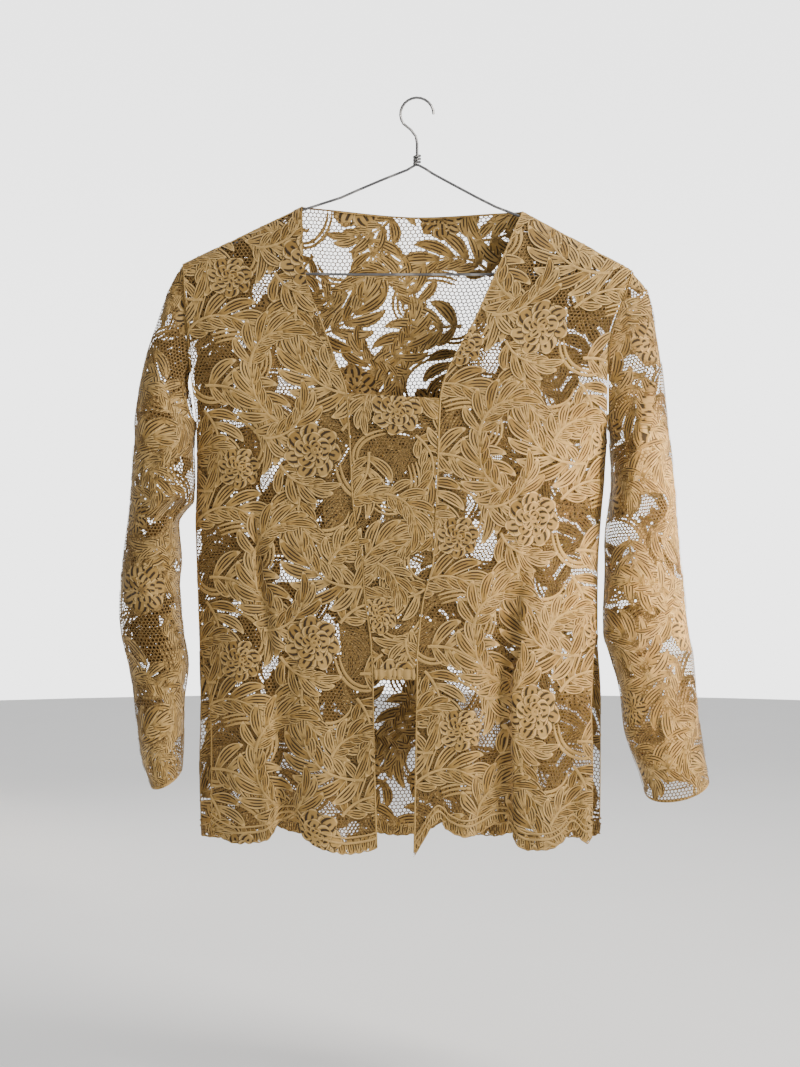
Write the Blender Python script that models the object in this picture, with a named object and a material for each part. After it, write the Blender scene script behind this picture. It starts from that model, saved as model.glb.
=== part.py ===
"""A corded lace kebaya blouse on a wire hanger, as walls of cloth built through sections.

The origin is the inside top of the hanger's hook. +Z is up and the blouse's front faces -Y.
Lengths below are real sizes in mm. A drop is a distance below the origin.
Right and left are the wearer's, so the right front is on the -X side.
"""

import math

import bpy
import numpy as np

for old_object in list(bpy.data.objects):
    bpy.data.objects.remove(old_object)

MM = 0.001

# The cloth wall and the gaps at its seams
WALL = 1.2
SEAM_GAP = 0.3
LAYER_GAP = 0.9
FACING_WIDTH = 31.0
FACING_START = 12.0

# The body's section: a flattened lens, folded tightly over the hanger's wire
FOLD_RADIUS = 2.2
LENS_POWER = 3.4
ARMHOLE_HALF_DEPTH = 20.0
ARMHOLE_MIDDLE = 250.0
UNDERARM_DROP = 331.0
ARMHOLE_EASE = 0.3
ARMHOLE_CLEAR_RIGHT = 0.45
ARMHOLE_CLEAR_LEFT = 0.9
UNDERARM_CLEAR = 0.7
UNDERARM_SHARE = 0.7
EASE_LENGTH = 60.0
LEAST_EASE = 1e-12
FOLD_START_PARTS = 10
HALF_ROUND = 2
FULL_ROUND = 4

# The shoulder lines: neck point, and how far the line falls for each mm outwards
NECK_RIGHT_X, NECK_RIGHT_DROP, SLOPE_RIGHT = -114.0, 108.0, 0.4833
NECK_LEFT_X, NECK_LEFT_DROP, SLOPE_LEFT = 105.0, 113.0, 0.5364
TIP_RIGHT_DROP = 166.0
TIP_LEFT_DROP = 172.0
BACK_NECK_DIP = 5.0

# Scallops of the hem
SMALL_SCALLOP = 9.0
SMALL_SCALLOP_DEPTH = 2.4
HEM_STEP = 3.0
BACK_SCALLOPS = 5
BACK_HEM_LOW = 742.0
BACK_SCALLOP_DEPTH = 18.0
BACK_SCALLOP_POWER = 0.6
SMALL_SCALLOP_POWER = 0.7
HEM_FADE = 12.0
HEM_SAMPLES = 800

# The hanger's wire
WIRE_RADIUS = 1.35
WIRE_SIDES = 8
WIRE_STEP = 45
HOOK_RADIUS = 16.6
HOOK_SWEEP = 215
HOOK_STEPS = 15
WIRE_BELOW_SHOULDER = 2.9
COIL_TURNS = 3.0
COIL_PITCH = 3.1
COIL_STEPS = 10
COIL_START = 20
COIL_TOP = 66.0

# Small steps used to find a surface's slope
TINY_TURN = 1e-6
TINY_DROP = 1e-4
TINY_STEP = 1e-5
TINY_ROW = 1e-9
ARMHOLE_TURN = 0.004


def table(columns, *rows):
    """The rows' values by column name, as arrays."""
    return dict(zip(columns.split(), np.array(rows, dtype=float).T))


SIDES = table(
    "drop right_x left_x",
    (90, -239, 226),
    (166, -234, 217),
    (172, -233.5, 215),
    (205, -230.5, 203),
    (241, -227.5, 191.5),
    (263, -226, 189),
    (331, -219.5, 188.5),
    (380, -219, 186.5),
    (421, -220.5, 183),
    (480, -219, 180),
    (541, -217, 180),
    (601, -215.5, 183),
    (661, -217, 183),
    (760, -214.5, 182),
)
HALF_DEPTHS = table("drop half_depth", (90, 24), (331, 26), (450, 22), (560, 23), (680, 27), (760, 28))
SEAM_INSETS = table(
    "drop right left", (331, 0, 0), (480, 0, 0), (541, 1, 3), (604, 9, 9), (661, 12, 8), (760, 11, 9)
)
RIGHT_EDGE = table(
    "drop x",
    (108, -114),
    (161, -113),
    (194, -106),
    (216, -97.5),
    (258, -82),
    (296, -69),
    (340, -66),
    (397, -63),
    (434, -59),
    (458, -54),
    (496, -51),
    (541, -45),
    (579, -43),
    (640, -42),
    (760, -38.5),
)
LEFT_EDGE = table(
    "drop x",
    (113, 105),
    (128, 98),
    (149, 89),
    (166, 81.7),
    (215, 60),
    (301, 22),
    (380, 19),
    (461, 15),
    (501, 5),
    (533, 1),
    (562, -1),
    (579, -1),
    (640, -2),
    (760, -4),
)
RIGHT_ROWS = table(
    "row side_drop edge_drop", (0, 166, 108), (0.3, 331, 296), (0.72, 560, 579), (1, 697, 706)
)
LEFT_ROWS = table(
    "row side_drop edge_drop", (0, 172, 113), (0.3, 331, 301), (0.72, 560, 579), (1, 697, 703)
)
RIGHT_HEM = table(
    "x drop",
    (-205, 723),
    (-202, 731),
    (-177, 741),
    (-152, 739),
    (-141, 731),
    (-136, 722),
    (-117, 720),
    (-112, 734),
    (-87, 747),
    (-70, 751),
    (-45, 747),
    (-38, 743),
)
LEFT_HEM = table(
    "x drop",
    (-4, 754),
    (6, 738),
    (15, 723),
    (23, 717),
    (28, 726),
    (48, 734),
    (63, 731),
    (75, 724),
    (88, 723),
    (95, 739),
    (108, 747),
    (128, 747),
    (143, 741),
    (155, 729),
    (163, 739),
    (169, 743),
    (173, 736),
)
RIGHT_VALLEY = table(
    "drop start_x end_x depth",
    (90, -171, -160, 0),
    (380, -171, -160, 0),
    (457, -164, -150, 2.5),
    (559, -151, -134, 4.5),
    (605, -149, -128, 6),
    (712, -141, -113, 7.5),
    (760, -140, -111, 8),
)
LEFT_VALLEY = table(
    "drop start_x end_x depth",
    (90, 112, 127, 0),
    (341, 112, 127, 0),
    (445, 100, 118, 2.5),
    (475, 92, 113, 3.5),
    (549, 66, 101, 6.5),
    (585, 52, 93, 9),
    (661, 46, 93, 10),
    (760, 44, 92, 10.5),
)
BACK_RIGHT_VALLEY = table(
    "drop start_x end_x depth",
    (90, -106, -90, 0),
    (330, -106, -90, 0),
    (450, -102, -84, 3.5),
    (600, -112, -84, 6.5),
    (760, -120, -80, 8),
)
BACK_LEFT_VALLEY = table(
    "drop start_x end_x depth",
    (90, 82, 98, 0),
    (330, 82, 98, 0),
    (450, 78, 96, 3.5),
    (600, 72, 102, 6.5),
    (760, 70, 110, 8),
)
SHARP = 8.0
SOFT = 15.0
CREST_OFFSET = 6.0
CREST_WIDTH = 8.0
CREST_SHARE = 0.3
FOLD_END_RATE = 4
FOLD_END_SHARE = 0.5
FOLD_OPEN_RATE = 1.6
FOLD_FADE_DROP = 60

# Drag folds as lines on the front or back, side -1 or 1, raised by a height or sunk if it is negative
BODY_FOLDS = table(
    "side x0 drop0 x1 drop1 width height",
    (-1, -214, 214, -150, 332, 12, 2.2),
    (-1, -216, 292, -168, 400, 13, 2.0),
    (-1, -206, 470, -172, 590, 13, 2.2),
    (-1, -120, 560, -88, 735, 16, 2.2),
    (-1, -70, 590, -62, 745, 13, -1.8),
    (-1, 192, 222, 132, 338, 12, 2.2),
    (-1, 180, 330, 148, 448, 13, 2.0),
    (-1, 168, 500, 136, 640, 14, 2.4),
    (-1, 140, 620, 150, 742, 14, -2.2),
    (-1, 30, 600, 22, 740, 12, 2.0),
    (1, -206, 226, -136, 350, 14, 2.2),
    (1, 184, 232, 118, 352, 14, 2.2),
    (1, -196, 470, -158, 640, 15, 2.6),
    (1, 160, 480, 132, 650, 15, 2.6),
    (1, -6, 430, -2, 735, 20, 2.6),
    (1, -52, 560, -46, 740, 14, -2.0),
    (1, 40, 560, 34, 740, 14, -2.0),
)
RIGHT_SLEEVE_FOLDS = table(
    "side x0 drop0 x1 drop1 width height",
    (-1, -216, 396, -250, 417, 5, -8.0),
    (-1, -216, 384, -262, 405, 8, 4.5),
    (-1, -232, 428, -264, 440, 8, 3.0),
    (-1, -240, 252, -272, 330, 8, 3.0),
    (-1, -230, 296, -264, 372, 8, -3.0),
    (-1, -292, 470, -240, 520, 9, 2.6),
    (-1, -290, 552, -236, 598, 9, -2.8),
    (-1, -282, 620, -240, 652, 8, 2.2),
    (1, -216, 398, -252, 420, 6, -6.0),
    (1, -240, 262, -274, 340, 9, 3.0),
    (1, -290, 480, -242, 535, 9, 2.6),
    (1, -286, 580, -238, 620, 9, -2.6),
)
LEFT_SLEEVE_FOLDS = table(
    "side x0 drop0 x1 drop1 width height",
    (-1, 234, 232, 202, 332, 8, -3.0),
    (-1, 242, 280, 206, 372, 8, 3.0),
    (-1, 264, 424, 190, 452, 8, -3.6),
    (-1, 264, 448, 190, 480, 9, 3.6),
    (-1, 274, 508, 190, 536, 8, -3.6),
    (-1, 277, 540, 200, 575, 9, 3.6),
    (-1, 283, 598, 206, 626, 8, -3.0),
    (-1, 288, 640, 218, 658, 8, 2.5),
    (1, 236, 240, 204, 340, 9, -3.0),
    (1, 264, 430, 192, 470, 9, -3.4),
    (1, 276, 530, 198, 566, 9, 3.4),
    (1, 284, 610, 210, 640, 9, -2.6),
)
RIGHT_SLEEVE = table(
    "row outer_x outer_drop inner_x inner_drop half_depth",
    (0.00, -234.0, 166, -219.5, 331, 20),
    (0.04, -248, 189, -221.6, 338, 25),
    (0.09, -259, 222, -222.4, 348, 30),
    (0.14, -269, 252, -222.4, 359, 34),
    (0.19, -276.5, 282, -222.2, 371, 37),
    (0.24, -281, 312, -222.0, 382, 39),
    (0.30, -283, 345, -222.4, 392, 40),
    (0.35, -285, 375, -223.0, 402, 40),
    (0.40, -286.5, 400, -232, 413, 38),
    (0.44, -288.5, 420, -238, 424, 38),
    (0.48, -291, 440, -236.5, 441, 39),
    (0.53, -294, 462, -235, 459, 40),
    (0.59, -296.5, 490, -237, 486, 40),
    (0.64, -297, 512, -235.5, 510, 39),
    (0.69, -295, 534, -233, 534, 38),
    (0.77, -287, 572, -228, 566, 37),
    (0.85, -281.5, 607, -232.5, 602, 36),
    (0.91, -278.5, 635, -233, 634, 35),
    (0.95, -275.5, 655, -233.5, 650, 34),
    (1.00, -265.5, 683, -235, 672, 33),
)
LEFT_SLEEVE = table(
    "row outer_x outer_drop inner_x inner_drop half_depth",
    (0.00, 215, 172, 188.5, 331, 20),
    (0.04, 231, 192, 191.5, 339, 25),
    (0.09, 238, 223, 192.5, 350, 30),
    (0.14, 243, 255, 193.5, 361, 34),
    (0.19, 246.5, 285, 194, 372, 37),
    (0.24, 249.5, 315, 194, 385, 39),
    (0.30, 253, 345, 192.5, 400, 40),
    (0.35, 256, 370, 190.5, 415, 40),
    (0.40, 258.5, 395, 188.5, 430, 40),
    (0.44, 260, 420, 187.5, 448, 40),
    (0.48, 262, 440, 187.5, 464, 39),
    (0.53, 264.5, 468, 187, 486, 38),
    (0.59, 268, 500, 186, 511, 37),
    (0.64, 272, 530, 186, 534, 36),
    (0.69, 275.5, 553, 190.5, 550, 34),
    (0.77, 279, 590, 202.5, 592, 32),
    (0.85, 283.5, 630, 207, 630, 30),
    (0.91, 288.5, 658, 215, 656, 28),
    (0.95, 290.5, 669, 222.5, 676, 27),
    (1.00, 292, 680, 227.5, 694, 26),
)
CUFF_DIP_RIGHT = 7.0
CUFF_DIP_LEFT = 11.0
CUFF_DIP_START = 0.8

# How a sleeve turns from its armhole's loop into its own section, as rows and powers
SLEEVE_OWN_ROW = 0.16
SLEEVE_POWER = 0.85
SLEEVE_FOLD_RATE = 1.5
SLEEVE_FOLD_ROW = 0.12
SLEEVE_CLEAR_ROW = 0.04

# The wire's route, from the hook to the right arm's end, along the bar, and from the left arm to the coil
WIRE_STEM = table(
    "x y drop",
    (-6.0, 0.0, 31.0),
    (-1.2, 0.0, 37.5),
    (0.0, 0.0, 44.0),
    (0.0, 0.0, 60.0),
    (-2.5, 0.0, 66.5),
    (-10.0, 0.0, 71.0),
    (-34.0, 0.0, 80.5),
    (-60.0, 0.0, 91.5),
    (-76.0, 0.0, 98.6),
)
WIRE_RIGHT_ARM = (-114.0, -150.0, -180.0, -203.0)
WIRE_BAR = table(
    "x y drop",
    (-209.0, 0.0, 158.8),
    (-212.5, 0.0, 164.0),
    (-210.5, 0.0, 170.5),
    (-203.0, 0.0, 173.6),
    (-150.0, 0.0, 174.5),
    (-60.0, 0.0, 175.5),
    (40.0, 0.0, 175.5),
    (130.0, 0.0, 175.0),
    (185.0, 0.0, 174.4),
    (193.0, 0.0, 172.5),
    (195.5, 0.0, 167.5),
    (191.0, 0.0, 162.6),
)
WIRE_LEFT_ARM = (180.0, 150.0, 118.0)
WIRE_TO_COIL = table(
    "x y drop",
    (79.0, 0.0, 108.0),
    (60.0, 0.0, 98.5),
    (34.0, 0.4, 84.5),
    (16.0, 1.4, 74.5),
    (8.0, 2.4, 69.0),
)

# Numbers of rows and columns in each piece's grid
FRONT_ROWS = 26
BACK_ROWS = 26
SLEEVE_ROWS = 30
SLEEVE_COLUMNS = 24
PANEL_COLUMNS = 8
FACING_COLUMNS = 4
FACING_ROWS = 30
FRONT_STEPS = (4, 1, 3, 1, 2, 4)
BACK_STEPS = (6, 1, 4, 5, 4, 1, 6)
BACK_TOP_ROWS = 6
PROBE_ROW = 3

# The lower end of a facing, and how evenly its rows follow the shoulder
FACING_ABOVE_HEM = 1.0
FACING_HEM_POWER = 8
FACING_TOP_PACE = 0.5

PANEL_TOP_ROW, PANEL_BOTTOM_ROW = 0.3, 0.72
PANEL_GATHER = 0.7
PANEL_GATHERS = 4.0

CLOTH_ROUGHNESS = 0.75
WIRE_METALLIC, WIRE_ROUGHNESS = 0.9, 0.35


def smooth(at, knots, values):
    """A curve through the values that doesn't overshoot between them."""
    at = np.clip(at, knots[0], knots[-1])
    step = np.diff(knots)
    rise = np.diff(values) / step
    product = rise[:-1] * rise[1:]
    total = np.where(product > 0, rise[:-1] + rise[1:], 1.0)
    inner = np.where(product > 0, 2 * product / total, 0.0)
    slope = np.concatenate(([rise[0]], inner, [rise[-1]]))
    i = np.clip(np.searchsorted(knots, at, side="right") - 1, 0, len(step) - 1)
    f = (at - knots[i]) / step[i]
    start = values[i] * (1 + 2 * f) * (1 - f) ** 2 + slope[i] * step[i] * f * (1 - f) ** 2
    end = values[i + 1] * (3 - 2 * f) * f**2 + slope[i + 1] * step[i] * (f - 1) * f**2
    return start + end


def read(rows, column, at, key="drop"):
    """A table's column at these places of its key column."""
    return smooth(at, rows[key], rows[column])


def ramp(value):
    """A smooth step from 0 to 1."""
    value = np.clip(value, 0, 1)
    return value * value * (3 - 2 * value)


def shoulder(x):
    """The drop of the shoulder lines, carried on to where they meet."""
    right = NECK_RIGHT_DROP - SLOPE_RIGHT * (x - NECK_RIGHT_X)
    left = NECK_LEFT_DROP + SLOPE_LEFT * (x - NECK_LEFT_X)
    return np.maximum(right, left)


def section(drop):
    """The middle and half width of the body's section at a drop."""
    right, left = read(SIDES, "right_x", drop), read(SIDES, "left_x", drop)
    return (right + left) / 2, (left - right) / 2


def turn_at(x, drop):
    """The turn round the section, from -1 at the right side to 1 at the left, of a place on the front."""
    middle, half = section(drop)
    return 2 / math.pi * np.arcsin(np.clip((x - middle) / half, -1, 1))


def armhole_depth(drop):
    """Half the armhole's depth where the body's edge passes a drop, closed at the underarm."""
    low = np.clip((drop - ARMHOLE_MIDDLE) / (UNDERARM_DROP - ARMHOLE_MIDDLE), 0, 1)
    return ARMHOLE_HALF_DEPTH * np.sqrt(1 - low**2)


def shoulder_close(x, drop, depth):
    """How far the section has opened below the shoulder fold, from nearly 0 to 1."""
    first = (SEAM_GAP / 2) ** 2 / (2 * FOLD_RADIUS)
    below = np.maximum(drop - shoulder(x) + first, first / FOLD_START_PARTS)
    return np.sqrt(1 - np.exp(-below * 2 * FOLD_RADIUS / depth**2))


def valley(rows, x, drop, sharp_start):
    """The depth of a long fold between two lines, with a crest beside its sharp edge."""
    start, end = read(rows, "start_x", drop), read(rows, "end_x", drop)
    room = end - start
    first = np.minimum(SHARP if sharp_start else SOFT, room / 2)
    last = np.minimum(SOFT if sharp_start else SHARP, room / 2)
    sunk = ramp((x - start) / first) * ramp((end - x) / last)
    crest_x = start - CREST_OFFSET if sharp_start else end + CREST_OFFSET
    crest = np.exp(-(((x - crest_x) / CREST_WIDTH) ** 2))
    return read(rows, "depth", drop) * (sunk - CREST_SHARE * crest)


def line_folds(rows, x, drop, side):
    """The height of the drag folds at a place on the front or the back."""
    height = np.zeros(np.broadcast(x, drop).shape)
    for row in zip(*rows.values()):
        fold = dict(zip(rows, row))
        if fold["side"] != side:
            continue
        run_x, run_drop = fold["x1"] - fold["x0"], fold["drop1"] - fold["drop0"]
        length = math.hypot(run_x, run_drop)
        along = ((x - fold["x0"]) * run_x + (drop - fold["drop0"]) * run_drop) / length**2
        across = ((x - fold["x0"]) * run_drop - (drop - fold["drop0"]) * run_x) / length
        fade = ramp(along * FOLD_END_RATE + FOLD_END_SHARE)
        fade = fade * ramp((1 - along) * FOLD_END_RATE + FOLD_END_SHARE)
        height = height + fold["height"] * fade * np.exp(-((across / fold["width"]) ** 2))
    return height


def body(turn, drop, side):
    """Points of the body: turns -1 to 1 are the front and 1 to 3 the back; side is -1 or 1."""
    middle, half = section(drop)
    angle = np.pi / 2 * turn
    x = middle + half * np.sin(angle)
    depth = read(HALF_DEPTHS, "half_depth", drop)
    edge = np.where(drop < UNDERARM_DROP, armhole_depth(drop), 0.0)
    ease = ARMHOLE_EASE * np.clip((UNDERARM_DROP - drop) / EASE_LENGTH, 0, 1) + LEAST_EASE
    open_part = np.clip(1 - np.abs(np.sin(angle)) ** LENS_POWER, 0, None)
    lens = (np.sqrt(open_part + ease) - np.sqrt(ease)) / (np.sqrt(1 + ease) - np.sqrt(ease))
    lens = np.sign(np.cos(angle)) * lens
    y = (edge * side - (depth - edge) * lens) * shoulder_close(x, drop, depth)
    if side < 0:
        sunk = valley(RIGHT_VALLEY, x, drop, True) + valley(LEFT_VALLEY, x, drop, False)
    else:
        sunk = valley(BACK_RIGHT_VALLEY, x, drop, True) + valley(BACK_LEFT_VALLEY, x, drop, False)
    raised = line_folds(BODY_FOLDS, x, drop, side) - sunk
    open_here = ramp(np.abs(lens) * FOLD_OPEN_RATE) * ramp((drop - shoulder(x)) / FOLD_FADE_DROP)
    y = y + side * raised * open_here
    return np.stack([x, y, -drop + 0 * x], axis=-1)


def unit(vectors):
    return vectors / np.linalg.norm(vectors, axis=-1, keepdims=True)


def body_normal(turn, drop, side):
    """Outward normals of the body's surface."""
    across = body(turn + TINY_TURN, drop, side) - body(turn - TINY_TURN, drop, side)
    down = body(turn, drop + TINY_DROP, side) - body(turn, drop - TINY_DROP, side)
    return -unit(np.cross(across, down))


def seam_turns(drop):
    """The turns of the right and the left side seam, on the front's side of the silhouette."""
    _, half = section(drop)
    right = 2 / math.pi * np.arcsin(1 - read(SEAM_INSETS, "right", drop) / half)
    left = 2 / math.pi * np.arcsin(1 - read(SEAM_INSETS, "left", drop) / half)
    return -right, left


def gap_turn(turn, drop, side):
    """The turn that covers half a seam gap along the section."""
    step = body(turn + TINY_TURN, drop, side) - body(turn - TINY_TURN, drop, side)
    pace = np.maximum(np.linalg.norm(step, axis=-1) / (2 * TINY_TURN), SEAM_GAP / 2 / ARMHOLE_TURN)
    return np.where(drop < UNDERARM_DROP, ARMHOLE_TURN, SEAM_GAP / 2 / pace)


def spread(knots, counts):
    """Places along 0 to len(knots) - 1, with this many steps between each pair of knots."""
    places = [np.linspace(i, i + 1, count, endpoint=False) for i, count in enumerate(counts)]
    return np.concatenate(places + [[float(len(knots) - 1)]])


def row_places(count, extra):
    """Rows from the top to the bottom, close together at the tight fold of the shoulder."""
    return np.unique(np.concatenate([extra, np.linspace(0, 1, count)]))


SHOULDER_ROWS = np.array([0.004, 0.012, 0.03])
UNDERARM_ROWS = np.array([0.285, PANEL_TOP_ROW, 0.32, PANEL_BOTTOM_ROW])


def front_grid(right, rows):
    """Turns and drops of a front's grid, from its side to its front edge."""
    plan = RIGHT_ROWS if right else LEFT_ROWS
    edge = RIGHT_EDGE if right else LEFT_EDGE
    fold = RIGHT_VALLEY if right else LEFT_VALLEY
    side_drop = read(plan, "side_drop", rows, "row")
    edge_drop = read(plan, "edge_drop", rows, "row")
    seam = seam_turns(side_drop)[0 if right else 1]
    gap = gap_turn(seam, side_drop, -1) * (1 if right else -1)
    middle_drop = (side_drop + edge_drop) / 2
    start, end = read(fold, "start_x", middle_drop), read(fold, "end_x", middle_drop)
    room = (end - start) / 2
    soft, sharp = np.minimum(SOFT, room), np.minimum(SHARP, room)
    if right:
        lines = [start - CREST_OFFSET, start, start + sharp, end - soft, end]
    else:
        lines = [end + CREST_OFFSET, end, end - sharp, start + soft, start]
    knots = [seam + gap] + [turn_at(line, middle_drop) for line in lines]
    knots += [turn_at(read(edge, "x", edge_drop), edge_drop)]
    places = spread(knots, FRONT_STEPS)
    knots = np.array(knots)
    whole = np.minimum(places.astype(int), len(knots) - 2)
    part = (places - whole)[:, None]
    turns = (knots[whole] * (1 - part) + knots[whole + 1] * part).T
    middle, half = section(middle_drop)
    x = middle[:, None] + half[:, None] * np.sin(np.pi / 2 * turns)
    share = (x - x[:, :1]) / (x[:, -1:] - x[:, :1])
    drops = side_drop[:, None] + (edge_drop - side_drop)[:, None] * share
    if right:
        return turns, drops
    return turns[:, ::-1], drops[:, ::-1]


def top_row_fix(turns, drops):
    """Puts the first row exactly on the shoulder line."""
    middle, half = section(drops[0])
    x = middle + half * np.sin(np.pi / 2 * turns[0])
    drops[0] = shoulder(x)
    return turns, drops


def small_scallops(length):
    """How far the small scallops draw up the hem, along its length."""
    return SMALL_SCALLOP_DEPTH * (1 - np.abs(np.sin(np.pi * length / SMALL_SCALLOP)) ** SMALL_SCALLOP_POWER)


def front_hem(right):
    """Turns and drops along a front's scalloped hem, from the lower turn to the higher."""
    hem = RIGHT_HEM if right else LEFT_HEM
    x = np.arange(hem["x"][0], hem["x"][-1], HEM_STEP)
    x = np.append(x, hem["x"][-1])
    drop = smooth(x, hem["x"], hem["drop"])
    fade = np.minimum(ramp((x - x[0]) / HEM_FADE), ramp((x[-1] - x) / HEM_FADE))
    drop = drop - small_scallops(x - x[0]) * fade
    turns = turn_at(x, drop)
    seam = seam_turns(drop)[0 if right else 1]
    edge = turn_at(read(RIGHT_EDGE if right else LEFT_EDGE, "x", drop), drop)
    side_end, edge_end = (0, -1) if right else (-1, 0)
    gap = gap_turn(seam, drop, -1) * (1 if right else -1)
    turns[side_end] = (seam + gap)[side_end]
    turns[edge_end] = edge[edge_end]
    return turns, drop


def back_grid(rows):
    """Turns and drops of the back's grid, from the left seam round the back to the right seam."""
    side_drop = read(RIGHT_ROWS, "side_drop", rows, "row")
    left_drop = read(LEFT_ROWS, "side_drop", rows, "row")
    middle_drop = read(RIGHT_ROWS, "edge_drop", rows, "row")
    left_seam = seam_turns(left_drop)[1]
    left_seam = left_seam + gap_turn(left_seam, left_drop, 1)
    right_seam = seam_turns(side_drop)[0] + FULL_ROUND
    right_seam = right_seam - gap_turn(right_seam, side_drop, 1)
    lines = []
    for rows_of, names in (
        (BACK_LEFT_VALLEY, ("end_x", "start_x")),
        (BACK_RIGHT_VALLEY, ("end_x", "start_x")),
    ):
        for name in names:
            lines.append(HALF_ROUND - turn_at(read(rows_of, name, middle_drop), middle_drop))
    neck_left = HALF_ROUND - turn_at(np.full(rows.shape, NECK_LEFT_X), middle_drop)
    neck_right = HALF_ROUND - turn_at(np.full(rows.shape, NECK_RIGHT_X), middle_drop)
    knots = np.array([left_seam, neck_left, *lines, neck_right, right_seam])
    places = spread(knots, BACK_STEPS)
    whole = np.minimum(places.astype(int), len(knots) - 2)
    part = (places - whole)[:, None]
    turns = (knots[whole] * (1 - part) + knots[whole + 1] * part).T
    middle, half = section(middle_drop)
    x = middle[:, None] + half[:, None] * np.sin(np.pi / 2 * turns)
    out_right = np.clip((NECK_RIGHT_X - x) / (NECK_RIGHT_X - x.min(axis=1, keepdims=True)), 0, 1)
    out_left = np.clip((x - NECK_LEFT_X) / (x.max(axis=1, keepdims=True) - NECK_LEFT_X), 0, 1)
    lower = middle_drop[:, None] + (NECK_LEFT_DROP - NECK_RIGHT_DROP) * (1 - rows[:, None])
    level = np.where(x < 0, middle_drop[:, None], lower)
    drops = level + (side_drop[:, None] - level) * out_right
    drops = drops + (left_drop[:, None] - drops) * out_left
    return turns, drops


def back_top(turns, drops):
    """Puts the first row on the shoulder lines and the back neck's shallow curve."""
    middle, half = section(drops[0])
    x = middle + half * np.sin(np.pi / 2 * turns[0])
    share = np.clip((x - NECK_RIGHT_X) / (NECK_LEFT_X - NECK_RIGHT_X), 0, 1)
    neck = NECK_RIGHT_DROP + (NECK_LEFT_DROP - NECK_RIGHT_DROP) * share
    neck = neck + BACK_NECK_DIP * np.sin(np.pi * share) ** 2
    inside = (x > NECK_RIGHT_X) & (x < NECK_LEFT_X)
    wanted = np.where(inside, neck, shoulder(x))
    moved = wanted - drops[0]
    fade = np.linspace(1, 0, BACK_TOP_ROWS)[:, None]
    drops[:BACK_TOP_ROWS] = drops[:BACK_TOP_ROWS] + moved[None, :] * fade
    return turns, drops


def back_hem():
    """Turns and drops along the back's scalloped hem, from the left seam to the right seam."""
    corner = np.array([BACK_HEM_LOW - BACK_SCALLOP_DEPTH])
    right_turn, left_turn = seam_turns(corner)
    left_turn = (left_turn + gap_turn(left_turn, corner, 1))[0]
    right_turn = (right_turn + FULL_ROUND - gap_turn(right_turn, corner, 1))[0]
    fine = np.linspace(left_turn, right_turn, HEM_SAMPLES)
    points = body(fine, np.full(fine.shape, BACK_HEM_LOW), 1)
    length = np.concatenate([[0], np.cumsum(np.linalg.norm(np.diff(points, axis=0), axis=1))])
    places = np.linspace(0, length[-1], int(length[-1] / HEM_STEP) + 1)
    turns = np.interp(places, length, fine)
    wave = np.abs(np.sin(np.pi * BACK_SCALLOPS * places / length[-1])) ** BACK_SCALLOP_POWER
    fade = np.minimum(ramp(places / HEM_FADE), ramp((length[-1] - places) / HEM_FADE))
    drops = BACK_HEM_LOW - BACK_SCALLOP_DEPTH * (1 - wave) - small_scallops(places) * fade
    return turns, drops


def grid_faces(rows, columns, closed=False):
    """Faces of a grid whose columns run with the turn and whose rows run down."""
    faces = []
    last = columns if closed else columns - 1
    for r in range(rows - 1):
        for c in range(last):
            n = (c + 1) % columns
            faces.append((r * columns + c, (r + 1) * columns + c, (r + 1) * columns + n, r * columns + n))
    return faces


def strip_faces(upper, upper_at, lower, lower_at):
    """Triangles between two rows of points that have different numbers of columns."""
    faces, i, j = [], 0, 0
    while i < len(upper) - 1 or j < len(lower) - 1:
        up = upper_at[i + 1] if i < len(upper) - 1 else np.inf
        low = lower_at[j + 1] if j < len(lower) - 1 else np.inf
        if low <= up:
            faces.append((upper[i], lower[j], lower[j + 1]))
            j += 1
        else:
            faces.append((upper[i], lower[j], upper[i + 1]))
            i += 1
    return faces


def cloth(name, points, normals, faces, colour, wall=WALL):
    """A closed wall of cloth: its outside, its inside and the rims between them."""
    count = len(points)
    both = np.concatenate([points + normals * wall / 2, points - normals * wall / 2]) * MM
    used = {}
    for face in faces:
        for a, b in zip(face, face[1:] + face[:1]):
            used[(a, b)] = True
    rims = [(b, a, a + count, b + count) for a, b in used if (b, a) not in used]
    inside = [tuple(i + count for i in reversed(face)) for face in faces]
    mesh = bpy.data.meshes.new(name)
    mesh.from_pydata([tuple(p) for p in both], [], list(faces) + inside + rims)
    return finish(name, mesh, colour, 0.0, CLOTH_ROUGHNESS)


def finish(name, mesh, colour, metallic, roughness):
    """Shades a mesh, gives it its own material and puts it in the scene."""
    mesh.validate()
    mesh.update()
    mesh.shade_smooth()
    material = bpy.data.materials.new(name)
    material.use_nodes = True
    shader = material.node_tree.nodes["Principled BSDF"]
    shader.inputs["Base Color"].default_value = (*colour, 1.0)
    shader.inputs["Roughness"].default_value = roughness
    shader.inputs["Metallic"].default_value = metallic
    mesh.materials.append(material)
    piece = bpy.data.objects.new(name, mesh)
    bpy.context.scene.collection.objects.link(piece)
    return piece


def body_panel(name, grid, hem, side, colour):
    """A front or the back: a grid down to above the hem, then a strip to the scallops."""
    turns, drops = grid
    rows, columns = turns.shape
    hem_turns, hem_drops = hem
    flat_turns = np.concatenate([turns.ravel(), hem_turns])
    flat_drops = np.concatenate([drops.ravel(), hem_drops])
    points = body(flat_turns, flat_drops, side)
    normals = body_normal(flat_turns, flat_drops, side)
    faces = grid_faces(rows, columns)
    upper = np.arange((rows - 1) * columns, rows * columns)
    lower = np.arange(rows * columns, rows * columns + len(hem_turns))
    faces += strip_faces(upper.tolist(), turns[-1], lower.tolist(), hem_turns)
    return cloth(name, points, normals, faces, colour)


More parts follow.
